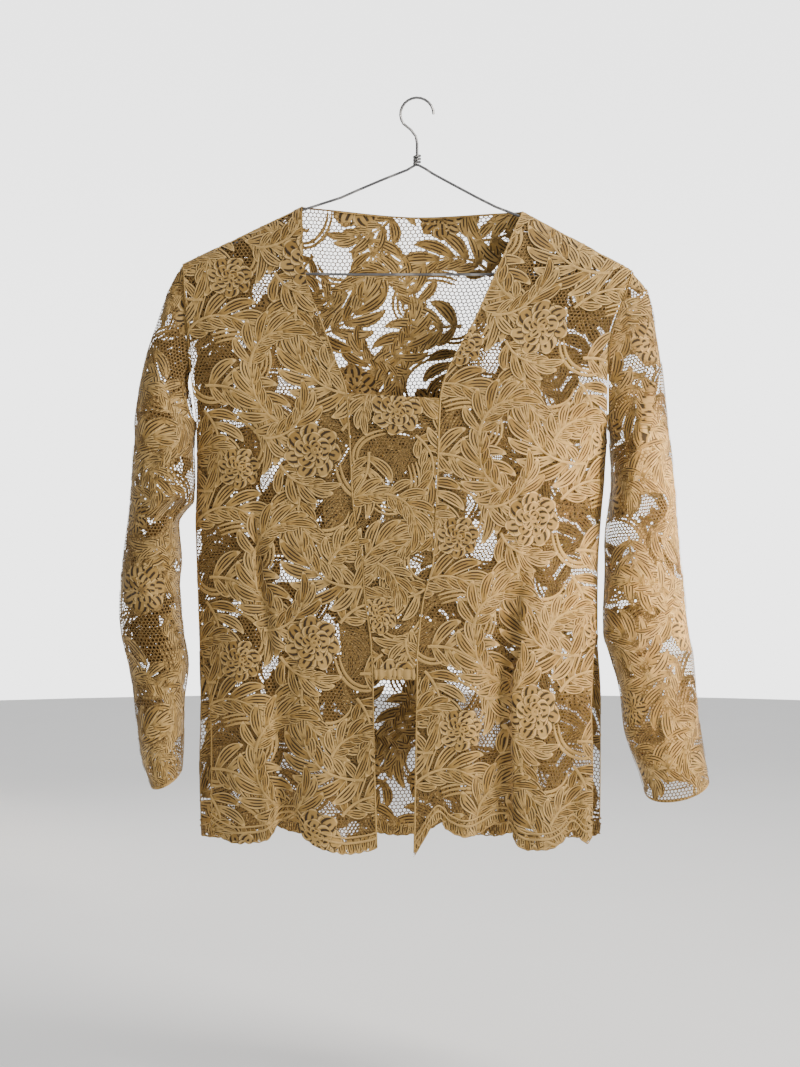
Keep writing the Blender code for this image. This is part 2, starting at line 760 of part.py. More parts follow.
def facing(name, right, rows, colour):
    """The turned facing inside a front's edge, made from the front's points moved inwards."""
    edge = RIGHT_EDGE if right else LEFT_EDGE
    hem = RIGHT_HEM if right else LEFT_HEM
    top = edge["drop"][0] + FACING_START
    hem_x = hem["x"][-1] if right else hem["x"][0]
    bottom = smooth(hem_x, hem["x"], hem["drop"])
    inwards = -1 if right else 1
    share = np.linspace(0, 1, rows)[:, None]
    across = np.linspace(0, 1, FACING_COLUMNS + 1)
    if right:
        across = across[::-1]
    edge_drop = top + (bottom - top) * share
    x = read(edge, "x", edge_drop) + inwards * FACING_WIDTH * across[None, :]
    low = smooth(x, hem["x"], hem["drop"]) - SMALL_SCALLOP_DEPTH - FACING_ABOVE_HEM
    drops = edge_drop + (np.minimum(low, bottom) - bottom) * share**FACING_HEM_POWER
    high = shoulder(x) + FACING_START
    drops = np.maximum(drops, high + (drops - drops[0, :]) * FACING_TOP_PACE)
    turns = turn_at(x, drops)
    normals = body_normal(turns.ravel(), drops.ravel(), -1)
    points = body(turns.ravel(), drops.ravel(), -1) - normals * (WALL + LAYER_GAP)
    return cloth(name, points, normals, grid_faces(*turns.shape), colour)


def centre_panel(name, rows, colour):
    """The kutu baru panel between the two front edges."""
    rows = rows[(rows > PANEL_TOP_ROW - TINY_ROW) & (rows < PANEL_BOTTOM_ROW + TINY_ROW)]
    right_drop = read(RIGHT_ROWS, "edge_drop", rows, "row")
    left_drop = read(LEFT_ROWS, "edge_drop", rows, "row")
    right_x = read(RIGHT_EDGE, "x", right_drop) + SEAM_GAP
    left_x = read(LEFT_EDGE, "x", left_drop) - SEAM_GAP
    across = np.linspace(0, 1, PANEL_COLUMNS + 1)[None, :]
    x = right_x[:, None] + (left_x - right_x)[:, None] * across
    drops = right_drop[:, None] + (left_drop - right_drop)[:, None] * across
    turns = turn_at(x, drops)
    points = body(turns.ravel(), drops.ravel(), -1)
    normals = body_normal(turns.ravel(), drops.ravel(), -1)
    flat = np.broadcast_to(across, x.shape).ravel()
    gather = np.sin(PANEL_GATHERS * 2 * np.pi * flat) * np.sin(np.pi * flat) * PANEL_GATHER
    points[:, 1] -= gather
    return cloth(name, points, normals, grid_faces(*turns.shape), colour)


def armhole_loop(right, angle):
    """The armhole's seam as a loop: 0 at the shoulder tip, a quarter turn at the front."""
    tip = TIP_RIGHT_DROP if right else TIP_LEFT_DROP
    drop = tip + (UNDERARM_DROP - tip) * (1 - np.cos(angle)) / 2
    x = read(SIDES, "right_x" if right else "left_x", drop)
    depth = read(HALF_DEPTHS, "half_depth", drop)
    half = armhole_depth(drop) * shoulder_close(x, drop, depth)
    return x, drop, half


def sleeve_points(right, row, angle):
    """Points of a sleeve, from its armhole at row 0 to its cuff at row 1."""
    rows = RIGHT_SLEEVE if right else LEFT_SLEEVE
    folds = RIGHT_SLEEVE_FOLDS if right else LEFT_SLEEVE_FOLDS
    outer_x, outer_drop = read(rows, "outer_x", row, "row"), read(rows, "outer_drop", row, "row")
    inner_x, inner_drop = read(rows, "inner_x", row, "row"), read(rows, "inner_drop", row, "row")
    depth = read(rows, "half_depth", row, "row")
    share = (1 - np.cos(angle)) / 2
    x = outer_x + (inner_x - outer_x) * share
    drop = outer_drop + (inner_drop - outer_drop) * share
    loop_x, loop_drop, loop_half = armhole_loop(right, angle)
    chord_x = rows["outer_x"][0] + (rows["inner_x"][0] - rows["outer_x"][0]) * share
    near = 1 - ramp(row / SLEEVE_OWN_ROW)
    x = x + (loop_x - chord_x) * near
    half = np.abs(np.sin(angle)) ** SLEEVE_POWER
    half = depth * half * (1 - near) + loop_half * depth / ARMHOLE_HALF_DEPTH * near
    front = np.sin(angle)
    side = np.where(front >= 0, -1, 1)
    raised = np.where(side < 0, line_folds(folds, x, drop, -1), line_folds(folds, x, drop, 1))
    y = side * (half + raised * ramp(np.abs(front) * SLEEVE_FOLD_RATE) * ramp(row / SLEEVE_FOLD_ROW))
    dip = CUFF_DIP_RIGHT if right else CUFF_DIP_LEFT
    drop = drop + dip * front * ramp((row - CUFF_DIP_START) / (1 - CUFF_DIP_START))
    outwards = -1 if right else 1
    clear = ARMHOLE_CLEAR_RIGHT if right else ARMHOLE_CLEAR_LEFT
    clear = clear + UNDERARM_CLEAR * ramp((share - UNDERARM_SHARE) / (1 - UNDERARM_SHARE))
    x = x + outwards * clear * (1 - ramp(row / SLEEVE_CLEAR_ROW))
    return np.stack([x, y, -drop], axis=-1)


def sleeve(name, right, colour):
    """A sleeve as one tube from the armhole to the cuff, open at both ends."""
    rows = RIGHT_SLEEVE["row"] if right else LEFT_SLEEVE["row"]
    row = np.interp(np.linspace(0, len(rows) - 1, SLEEVE_ROWS), np.arange(len(rows)), rows)
    angle = np.arange(SLEEVE_COLUMNS) * 2 * np.pi / SLEEVE_COLUMNS
    grid_row, grid_angle = np.meshgrid(row, angle, indexing="ij")
    points = sleeve_points(right, grid_row, grid_angle)
    turned = sleeve_points(right, grid_row, grid_angle + TINY_STEP)
    turned = turned - sleeve_points(right, grid_row, grid_angle - TINY_STEP)
    lower = sleeve_points(right, np.minimum(grid_row + TINY_STEP, 1), grid_angle)
    down = lower - sleeve_points(right, np.maximum(grid_row - TINY_STEP, 0), grid_angle)
    normals = unit(np.cross(turned, down))
    plane = np.array([-1.0 if right else 1.0, 0.0, 0.0])
    level = turned[0] - plane * (turned[0] @ plane)[:, None]
    normals[0] = unit(np.cross(level, plane[None, :] * np.ones((SLEEVE_COLUMNS, 1))))
    centre = points.mean(axis=1, keepdims=True)
    out = np.sign(((points - centre) * normals).sum(axis=-1, keepdims=True))
    turn = 1 if np.median(out) > 0 else -1
    normals[1:] *= turn
    normals[0] *= np.sign(((points[0] - centre[0]) * normals[0]).sum(axis=-1, keepdims=True))
    faces = grid_faces(*grid_row.shape, closed=True)
    here, below, beside = points[PROBE_ROW, 0], points[PROBE_ROW + 1, 0], points[PROBE_ROW, 1]
    facing_out = np.dot(np.cross(below - here, beside - here), normals[PROBE_ROW, 0]) > 0
    if not facing_out:
        faces = [tuple(reversed(face)) for face in faces]
    return cloth(name, points.reshape(-1, 3), normals.reshape(-1, 3), faces, colour)


def below_shoulder(places):
    """Wire points under the shoulder line, where the cloth lies on the hanger's arm."""
    return [(x, 0.0, float(shoulder(np.array(x))) + WIRE_BELOW_SHOULDER) for x in places]


def wire_path():
    """The hanger's wire from the hook's tip, down the stem, round the arms and into the coil."""
    centre_drop = HOOK_RADIUS - WIRE_RADIUS
    turn = np.radians(np.linspace(0, HOOK_SWEEP, HOOK_STEPS))
    path = [(HOOK_RADIUS * math.cos(a), 0.0, centre_drop - HOOK_RADIUS * math.sin(a)) for a in turn]
    path += list(zip(*WIRE_STEM.values()))
    path += below_shoulder(WIRE_RIGHT_ARM)
    path += list(zip(*WIRE_BAR.values()))
    path += below_shoulder(WIRE_LEFT_ARM)
    path += list(zip(*WIRE_TO_COIL.values()))
    reach = 2 * WIRE_RADIUS + SEAM_GAP
    for i in range(1, int(COIL_TURNS * COIL_STEPS) + 1):
        a = 2 * math.pi * i / COIL_STEPS + math.radians(COIL_START)
        drop = COIL_TOP - COIL_PITCH * i / COIL_STEPS
        path.append((reach * math.cos(a), reach * math.sin(a), drop))
    return np.array([(x, y, -drop) for x, y, drop in path])


def hanger(name, colour):
    """The wire as one swept rod with closed ends."""
    path = wire_path()
    fine = [path[0]]
    for a, b in zip(path, path[1:]):
        pieces = max(1, int(np.linalg.norm(b - a) / WIRE_STEP))
        fine += [a + (b - a) * k / pieces for k in range(1, pieces + 1)]
    path = np.array(fine)
    ahead = np.gradient(path, axis=0)
    ahead = unit(ahead)
    side = np.array([0.0, 1.0, 0.0])
    rings = []
    for here, along in zip(path, ahead):
        side = side - along * np.dot(side, along)
        side = side / np.linalg.norm(side)
        other = np.cross(along, side)
        for k in range(WIRE_SIDES):
            a = 2 * math.pi * k / WIRE_SIDES
            rings.append(here + WIRE_RADIUS * (math.cos(a) * side + math.sin(a) * other))
    faces = []
    for r in range(len(path) - 1):
        for k in range(WIRE_SIDES):
            n = (k + 1) % WIRE_SIDES
            this, next_ring = r * WIRE_SIDES, (r + 1) * WIRE_SIDES
            faces.append((this + k, this + n, next_ring + n, next_ring + k))
    last = (len(path) - 1) * WIRE_SIDES
    faces.append(tuple(reversed(range(WIRE_SIDES))))
    faces.append(tuple(last + k for k in range(WIRE_SIDES)))
    mesh = bpy.data.meshes.new(name)
    mesh.from_pydata([tuple(p * MM) for p in rings], [], faces)
    return finish(name, mesh, colour, WIRE_METALLIC, WIRE_ROUGHNESS)


LACE = (0.56, 0.35, 0.11)
LACE_DENSE = (0.50, 0.30, 0.09)
STEEL = (0.18, 0.18, 0.19)

front_rows = row_places(FRONT_ROWS, np.concatenate([SHOULDER_ROWS, UNDERARM_ROWS]))
right_grid = top_row_fix(*front_grid(True, front_rows))
left_grid = top_row_fix(*front_grid(False, front_rows))
body_panel("front_right", right_grid, front_hem(True), -1, LACE)
body_panel("front_left", left_grid, front_hem(False), -1, LACE)
back_rows = row_places(BACK_ROWS, np.concatenate([SHOULDER_ROWS, UNDERARM_ROWS]))
back_turns, back_drops = back_top(*back_grid(back_rows))
body_panel("back", (back_turns, back_drops), back_hem(), 1, LACE)
facing("front_facing_right", True, FACING_ROWS, LACE_DENSE)
facing("front_facing_left", False, FACING_ROWS, LACE_DENSE)
centre_panel("kutu_baru_panel", front_rows, LACE_DENSE)
sleeve("sleeve_right", True, LACE)
sleeve("sleeve_left", False, LACE)
hanger("hanger", STEEL)
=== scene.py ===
"""A corded lace kebaya blouse on a wire hanger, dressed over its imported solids.

The lace is real cloth: a net of small six-sided meshes with leaf sprays, roses and scrolls laid on it,
cut to each panel's outline and bent over the same surface as the solids.
Sizes in the tables are in mm. A drop is a distance below the inside top of the hanger's hook.
Right and left are the wearer's, so the right front is on the -X side and the front faces -Y.
"""

import math

import bpy
import numpy as np
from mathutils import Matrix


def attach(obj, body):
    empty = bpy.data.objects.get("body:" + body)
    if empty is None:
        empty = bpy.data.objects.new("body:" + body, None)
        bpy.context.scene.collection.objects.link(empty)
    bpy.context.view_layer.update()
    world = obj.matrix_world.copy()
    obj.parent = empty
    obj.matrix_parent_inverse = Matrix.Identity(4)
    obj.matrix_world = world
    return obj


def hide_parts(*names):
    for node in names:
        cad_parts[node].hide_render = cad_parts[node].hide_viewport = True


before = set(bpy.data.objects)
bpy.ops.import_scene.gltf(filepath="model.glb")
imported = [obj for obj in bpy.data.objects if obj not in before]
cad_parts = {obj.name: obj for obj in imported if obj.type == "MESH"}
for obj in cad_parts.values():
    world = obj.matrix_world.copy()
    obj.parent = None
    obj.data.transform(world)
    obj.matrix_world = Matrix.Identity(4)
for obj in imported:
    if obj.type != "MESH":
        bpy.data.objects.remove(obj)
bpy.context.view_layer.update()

bl_info = {
    "name": "Lace kebaya blouse",
    "version": (1, 0, 0),
    "blender": (4, 5, 0),
    "location": "View3D > Sidebar > Kebaya",
    "description": "Makes a corded lace kebaya blouse on a wire hanger",
    "category": "Object",
}

MM = 0.001

# The cloth and its layers
WALL = 1.2
SEAM_GAP = 0.3
LAYER_GAP = 0.9
FACING_WIDTH = 31.0
FACING_START = 12.0
# The body's section: a flattened lens, folded tightly over the hanger's wire
FOLD_RADIUS = 2.2
LENS_POWER = 3.4
ARMHOLE_HALF_DEPTH = 20.0
ARMHOLE_MIDDLE = 250.0
UNDERARM_DROP = 331.0
ARMHOLE_EASE = 0.3
ARMHOLE_CLEAR_RIGHT = 0.45
ARMHOLE_CLEAR_LEFT = 0.9
UNDERARM_CLEAR = 0.7
UNDERARM_SHARE = 0.7
CLEAR_ROWS = 0.04
EASE_LENGTH = 60.0

# The shoulder lines: neck point, and how far the line falls for each mm outwards
NECK_RIGHT_X, NECK_RIGHT_DROP, SLOPE_RIGHT = -114.0, 108.0, 0.4833
NECK_LEFT_X, NECK_LEFT_DROP, SLOPE_LEFT = 105.0, 113.0, 0.5364
TIP_RIGHT_DROP = 166.0
TIP_LEFT_DROP = 172.0
BACK_NECK_DIP = 5.0

# Scallops of the hem
SMALL_SCALLOP = 9.0
SMALL_SCALLOP_DEPTH = 2.4
SMALL_SCALLOP_POWER = 0.7
BACK_SCALLOPS = 5
BACK_HEM_LOW = 742.0
BACK_SCALLOP_DEPTH = 18.0
BACK_SCALLOP_POWER = 0.6

# Small steps used to find a surface's slope, and values that keep a division clear of zero
TINY_TURN = 1e-6
TINY_DROP = 1e-4
TINY = 1e-9
TINY_EASE = 1e-12
LEAST_BELOW = 0.1
ARMHOLE_TURN = 0.004


def table(columns, *rows):
    """The rows' values by column name, as arrays."""
    return dict(zip(columns.split(), np.array(rows, dtype=float).T))


SIDES = table(
    "drop right_x left_x",
    (90, -239, 226), (166, -234, 217), (172, -233.5, 215), (205, -230.5, 203),
    (241, -227.5, 191.5), (263, -226, 189), (331, -219.5, 188.5), (380, -219, 186.5),
    (421, -220.5, 183), (480, -219, 180), (541, -217, 180), (601, -215.5, 183), (661, -217, 183),
    (760, -214.5, 182),
)
HALF_DEPTHS = table("drop half_depth", (90, 24), (331, 26), (450, 22), (560, 23), (680, 27), (760, 28))
SEAM_INSETS = table(
    "drop right left", (331, 0, 0), (480, 0, 0), (541, 1, 3), (604, 9, 9), (661, 12, 8), (760, 11, 9)
)
RIGHT_EDGE = table(
    "drop x",
    (108, -114), (161, -113), (194, -106), (216, -97.5), (258, -82), (296, -69), (340, -66),
    (397, -63), (434, -59), (458, -54), (496, -51), (541, -45), (579, -43), (640, -42),
    (760, -38.5),
)
LEFT_EDGE = table(
    "drop x",
    (113, 105), (128, 98), (149, 89), (166, 81.7), (215, 60), (301, 22), (380, 19), (461, 15),
    (501, 5), (533, 1), (562, -1), (579, -1), (640, -2), (760, -4),
)
RIGHT_HEM = table(
    "x drop",
    (-205, 723), (-202, 731), (-177, 741), (-152, 739), (-141, 731), (-136, 722), (-117, 720),
    (-112, 734), (-87, 747), (-70, 751), (-45, 747), (-38, 743),
)
LEFT_HEM = table(
    "x drop",
    (-4, 754), (6, 738), (15, 723), (23, 717), (28, 726), (48, 734), (63, 731), (75, 724),
    (88, 723), (95, 739), (108, 747), (128, 747), (143, 741), (155, 729), (163, 739), (169, 743),
    (173, 736),
)
RIGHT_VALLEY = table(
    "drop start_x end_x depth",
    (90, -171, -160, 0),
    (380, -171, -160, 0),
    (457, -164, -150, 2.5),
    (559, -151, -134, 4.5),
    (605, -149, -128, 6),
    (712, -141, -113, 7.5),
    (760, -140, -111, 8),
)
LEFT_VALLEY = table(
    "drop start_x end_x depth",
    (90, 112, 127, 0),
    (341, 112, 127, 0),
    (445, 100, 118, 2.5),
    (475, 92, 113, 3.5),
    (549, 66, 101, 6.5),
    (585, 52, 93, 9),
    (661, 46, 93, 10),
    (760, 44, 92, 10.5),
)
BACK_RIGHT_VALLEY = table(
    "drop start_x end_x depth",
    (90, -106, -90, 0),
    (330, -106, -90, 0),
    (450, -102, -84, 3.5),
    (600, -112, -84, 6.5),
    (760, -120, -80, 8),
)
BACK_LEFT_VALLEY = table(
    "drop start_x end_x depth",
    (90, 82, 98, 0),
    (330, 82, 98, 0),
    (450, 78, 96, 3.5),
    (600, 72, 102, 6.5),
    (760, 70, 110, 8),
)
SHARP = 8.0
SOFT = 15.0
CREST_OFFSET = 6.0
CREST_WIDTH = 8.0
CREST_SHARE = 0.3

# How fast a fold fades at its ends, towards the sides and below the shoulder
FOLD_END_RATE = 4
BODY_SIDE_RATE = 1.6
BODY_CALM_LENGTH = 60
SLEEVE_SIDE_RATE = 1.5
SLEEVE_CALM_ROWS = 0.12

# Drag folds as lines on the front or back, side -1 or 1, raised by a height or sunk if it is negative
BODY_FOLDS = table(
    "side x0 drop0 x1 drop1 width height",
    (-1, -214, 214, -150, 332, 12, 2.2),
    (-1, -216, 292, -168, 400, 13, 2.0),
    (-1, -206, 470, -172, 590, 13, 2.2),
    (-1, -120, 560, -88, 735, 16, 2.2),
    (-1, -70, 590, -62, 745, 13, -1.8),
    (-1, 192, 222, 132, 338, 12, 2.2),
    (-1, 180, 330, 148, 448, 13, 2.0),
    (-1, 168, 500, 136, 640, 14, 2.4),
    (-1, 140, 620, 150, 742, 14, -2.2),
    (-1, 30, 600, 22, 740, 12, 2.0),
    (1, -206, 226, -136, 350, 14, 2.2),
    (1, 184, 232, 118, 352, 14, 2.2),
    (1, -196, 470, -158, 640, 15, 2.6),
    (1, 160, 480, 132, 650, 15, 2.6),
    (1, -6, 430, -2, 735, 20, 2.6),
    (1, -52, 560, -46, 740, 14, -2.0),
    (1, 40, 560, 34, 740, 14, -2.0),
)
RIGHT_SLEEVE_FOLDS = table(
    "side x0 drop0 x1 drop1 width height",
    (-1, -216, 396, -250, 417, 5, -8.0),
    (-1, -216, 384, -262, 405, 8, 4.5),
    (-1, -232, 428, -264, 440, 8, 3.0),
    (-1, -240, 252, -272, 330, 8, 3.0),
    (-1, -230, 296, -264, 372, 8, -3.0),
    (-1, -292, 470, -240, 520, 9, 2.6),
    (-1, -290, 552, -236, 598, 9, -2.8),
    (-1, -282, 620, -240, 652, 8, 2.2),
    (1, -216, 398, -252, 420, 6, -6.0),
    (1, -240, 262, -274, 340, 9, 3.0),
    (1, -290, 480, -242, 535, 9, 2.6),
    (1, -286, 580, -238, 620, 9, -2.6),
)
LEFT_SLEEVE_FOLDS = table(
    "side x0 drop0 x1 drop1 width height",
    (-1, 234, 232, 202, 332, 8, -3.0),
    (-1, 242, 280, 206, 372, 8, 3.0),
    (-1, 264, 424, 190, 452, 8, -3.6),
    (-1, 264, 448, 190, 480, 9, 3.6),
    (-1, 274, 508, 190, 536, 8, -3.6),
    (-1, 277, 540, 200, 575, 9, 3.6),
    (-1, 283, 598, 206, 626, 8, -3.0),
    (-1, 288, 640, 218, 658, 8, 2.5),
    (1, 236, 240, 204, 340, 9, -3.0),
    (1, 264, 430, 192, 470, 9, -3.4),
    (1, 276, 530, 198, 566, 9, 3.4),
    (1, 284, 610, 210, 640, 9, -2.6),
)
RIGHT_SLEEVE = table(
    "row outer_x outer_drop inner_x inner_drop half_depth",
    (0.00, -234.0, 166, -219.5, 331, 20),
    (0.04, -248, 189, -221.6, 338, 25),
    (0.09, -259, 222, -222.4, 348, 30),
    (0.14, -269, 252, -222.4, 359, 34),
    (0.19, -276.5, 282, -222.2, 371, 37),
    (0.24, -281, 312, -222.0, 382, 39),
    (0.30, -283, 345, -222.4, 392, 40),
    (0.35, -285, 375, -223.0, 402, 40),
    (0.40, -286.5, 400, -232, 413, 38),
    (0.44, -288.5, 420, -238, 424, 38),
    (0.48, -291, 440, -236.5, 441, 39),
    (0.53, -294, 462, -235, 459, 40),
    (0.59, -296.5, 490, -237, 486, 40),
    (0.64, -297, 512, -235.5, 510, 39),
    (0.69, -295, 534, -233, 534, 38),
    (0.77, -287, 572, -228, 566, 37),
    (0.85, -281.5, 607, -232.5, 602, 36),
    (0.91, -278.5, 635, -233, 634, 35),
    (0.95, -275.5, 655, -233.5, 650, 34),
    (1.00, -265.5, 683, -235, 672, 33),
)
LEFT_SLEEVE = table(
    "row outer_x outer_drop inner_x inner_drop half_depth",
    (0.00, 215, 172, 188.5, 331, 20),
    (0.04, 231, 192, 191.5, 339, 25),
    (0.09, 238, 223, 192.5, 350, 30),
    (0.14, 243, 255, 193.5, 361, 34),
    (0.19, 246.5, 285, 194, 372, 37),
    (0.24, 249.5, 315, 194, 385, 39),
    (0.30, 253, 345, 192.5, 400, 40),
    (0.35, 256, 370, 190.5, 415, 40),
    (0.40, 258.5, 395, 188.5, 430, 40),
    (0.44, 260, 420, 187.5, 448, 40),
    (0.48, 262, 440, 187.5, 464, 39),
    (0.53, 264.5, 468, 187, 486, 38),
    (0.59, 268, 500, 186, 511, 37),
    (0.64, 272, 530, 186, 534, 36),
    (0.69, 275.5, 553, 190.5, 550, 34),
    (0.77, 279, 590, 202.5, 592, 32),
    (0.85, 283.5, 630, 207, 630, 30),
    (0.91, 288.5, 658, 215, 656, 28),
    (0.95, 290.5, 669, 222.5, 676, 27),
    (1.00, 292, 680, 227.5, 694, 26),
)
CUFF_DIP_RIGHT = 7.0
CUFF_DIP_LEFT = 11.0
CUFF_DIP_START = 0.8

# A sleeve's section away from the armhole, and the rows over which it takes the armhole's form
SLEEVE_POWER = 0.85
ARMHOLE_ROWS = 0.16


def smooth(at, knots, values):
    """A curve through the values that doesn't overshoot between them."""
    at = np.clip(at, knots[0], knots[-1])
    step = np.diff(knots)
    rise = np.diff(values) / step
    product = rise[:-1] * rise[1:]
    total = np.where(product > 0, rise[:-1] + rise[1:], 1.0)
    inner = np.where(product > 0, 2 * product / total, 0.0)
    slope = np.concatenate(([rise[0]], inner, [rise[-1]]))
    i = np.clip(np.searchsorted(knots, at, side="right") - 1, 0, len(step) - 1)
    f = (at - knots[i]) / step[i]
    start = values[i] * (1 + 2 * f) * (1 - f) ** 2 + slope[i] * step[i] * f * (1 - f) ** 2
    end = values[i + 1] * (3 - 2 * f) * f**2 + slope[i + 1] * step[i] * (f - 1) * f**2
    return start + end


def read(rows, column, at, key="drop"):
    """A table's column at these places of its key column."""
    return smooth(at, rows[key], rows[column])


def ramp(value):
    """A smooth step from 0 to 1."""
    value = np.clip(value, 0, 1)
    return value * value * (3 - 2 * value)


def shoulder(x):
    """The drop of the shoulder lines, carried on to where they meet."""
    right = NECK_RIGHT_DROP - SLOPE_RIGHT * (x - NECK_RIGHT_X)
    left = NECK_LEFT_DROP + SLOPE_LEFT * (x - NECK_LEFT_X)
    return np.maximum(right, left)


def section(drop):
    """The middle and half width of the body's section at a drop."""
    right, left = read(SIDES, "right_x", drop), read(SIDES, "left_x", drop)
    return (right + left) / 2, (left - right) / 2


def turn_at(x, drop):
    """The turn round the section, from -1 at the right side to 1 at the left, of a place on the front."""
    middle, half = section(drop)
    return 2 / math.pi * np.arcsin(np.clip((x - middle) / half, -1, 1))


def armhole_depth(drop):
    """Half the armhole's depth where the body's edge passes a drop, closed at the underarm."""
    low = np.clip((drop - ARMHOLE_MIDDLE) / (UNDERARM_DROP - ARMHOLE_MIDDLE), 0, 1)
    return ARMHOLE_HALF_DEPTH * np.sqrt(1 - low**2)


def shoulder_close(x, drop, depth):
    """How far the section has opened below the shoulder fold, from nearly 0 to 1."""
    first = (SEAM_GAP / 2) ** 2 / (2 * FOLD_RADIUS)
    below = np.maximum(drop - shoulder(x) + first, first * LEAST_BELOW)
    return np.sqrt(1 - np.exp(-below * 2 * FOLD_RADIUS / depth**2))


def valley(rows, x, drop, sharp_start):
    """The depth of a long fold between two lines, with a crest beside its sharp edge."""
    start, end = read(rows, "start_x", drop), read(rows, "end_x", drop)
    room = end - start
    first = np.minimum(SHARP if sharp_start else SOFT, room / 2)
    last = np.minimum(SOFT if sharp_start else SHARP, room / 2)
    sunk = ramp((x - start) / first) * ramp((end - x) / last)
    crest_x = start - CREST_OFFSET if sharp_start else end + CREST_OFFSET
    crest = np.exp(-(((x - crest_x) / CREST_WIDTH) ** 2))
    return read(rows, "depth", drop) * (sunk - CREST_SHARE * crest)


def line_folds(rows, x, drop, side):
    """The height of the drag folds at a place on the front or the back."""
    height = np.zeros(np.broadcast(x, drop).shape)
    for row in zip(*rows.values()):
        fold = dict(zip(rows, row))
        if fold["side"] != side:
            continue
        run_x, run_drop = fold["x1"] - fold["x0"], fold["drop1"] - fold["drop0"]
        length = math.hypot(run_x, run_drop)
        along = ((x - fold["x0"]) * run_x + (drop - fold["drop0"]) * run_drop) / length**2
        across = ((x - fold["x0"]) * run_drop - (drop - fold["drop0"]) * run_x) / length
        fade = ramp(along * FOLD_END_RATE + 0.5) * ramp((1 - along) * FOLD_END_RATE + 0.5)
        height = height + fold["height"] * fade * np.exp(-((across / fold["width"]) ** 2))
    return height


def body(turn, drop, side):
    """Points of the body: turns -1 to 1 are the front and 1 to 3 the back; side is -1 or 1."""
    middle, half = section(drop)
    angle = np.pi / 2 * turn
    x = middle + half * np.sin(angle)
    depth = read(HALF_DEPTHS, "half_depth", drop)
    edge = np.where(drop < UNDERARM_DROP, armhole_depth(drop), 0.0)
    ease = ARMHOLE_EASE * np.clip((UNDERARM_DROP - drop) / EASE_LENGTH, 0, 1) + TINY_EASE
    open_part = np.clip(1 - np.abs(np.sin(angle)) ** LENS_POWER, 0, None)
    lens = (np.sqrt(open_part + ease) - np.sqrt(ease)) / (np.sqrt(1 + ease) - np.sqrt(ease))
    lens = np.sign(np.cos(angle)) * lens
    y = (edge * side - (depth - edge) * lens) * shoulder_close(x, drop, depth)
    if side < 0:
        sunk = valley(RIGHT_VALLEY, x, drop, True) + valley(LEFT_VALLEY, x, drop, False)
    else:
        sunk = valley(BACK_RIGHT_VALLEY, x, drop, True) + valley(BACK_LEFT_VALLEY, x, drop, False)
    raised = line_folds(BODY_FOLDS, x, drop, side) - sunk
    open_here = ramp(np.abs(lens) * BODY_SIDE_RATE) * ramp((drop - shoulder(x)) / BODY_CALM_LENGTH)
    y = y + side * raised * open_here
    return np.stack([x, y, -drop + 0 * x], axis=-1)


def unit(vectors):
    return vectors / np.linalg.norm(vectors, axis=-1, keepdims=True)


def body_normal(turn, drop, side):
    """Outward normals of the body's surface."""
    across = body(turn + TINY_TURN, drop, side) - body(turn - TINY_TURN, drop, side)
    down = body(turn, drop + TINY_DROP, side) - body(turn, drop - TINY_DROP, side)
    return -unit(np.cross(across, down))


def seam_turns(drop):
    """The turns of the right and the left side seam, on the front's side of the silhouette."""
    _, half = section(drop)
    right = 2 / math.pi * np.arcsin(1 - read(SEAM_INSETS, "right", drop) / half)
    left = 2 / math.pi * np.arcsin(1 - read(SEAM_INSETS, "left", drop) / half)
    return -right, left


def gap_turn(turn, drop, side):
    """The turn that covers half a seam gap along the section."""
    step = body(turn + TINY_TURN, drop, side) - body(turn - TINY_TURN, drop, side)
    pace = np.maximum(np.linalg.norm(step, axis=-1) / (2 * TINY_TURN), SEAM_GAP / 2 / ARMHOLE_TURN)
    return np.where(drop < UNDERARM_DROP, ARMHOLE_TURN, SEAM_GAP / 2 / pace)


def small_scallops(length):
    """How far the small scallops draw up the hem, along its length."""
    return SMALL_SCALLOP_DEPTH * (1 - np.abs(np.sin(np.pi * length / SMALL_SCALLOP)) ** SMALL_SCALLOP_POWER)


def armhole_loop(right, angle):
    """The armhole's seam as a loop, 0 at the shoulder tip: its places across and its half depths."""
    tip = TIP_RIGHT_DROP if right else TIP_LEFT_DROP
    drop = tip + (UNDERARM_DROP - tip) * (1 - np.cos(angle)) / 2
    x = read(SIDES, "right_x" if right else "left_x", drop)
    depth = read(HALF_DEPTHS, "half_depth", drop)
    half = armhole_depth(drop) * shoulder_close(x, drop, depth)
    return x, half


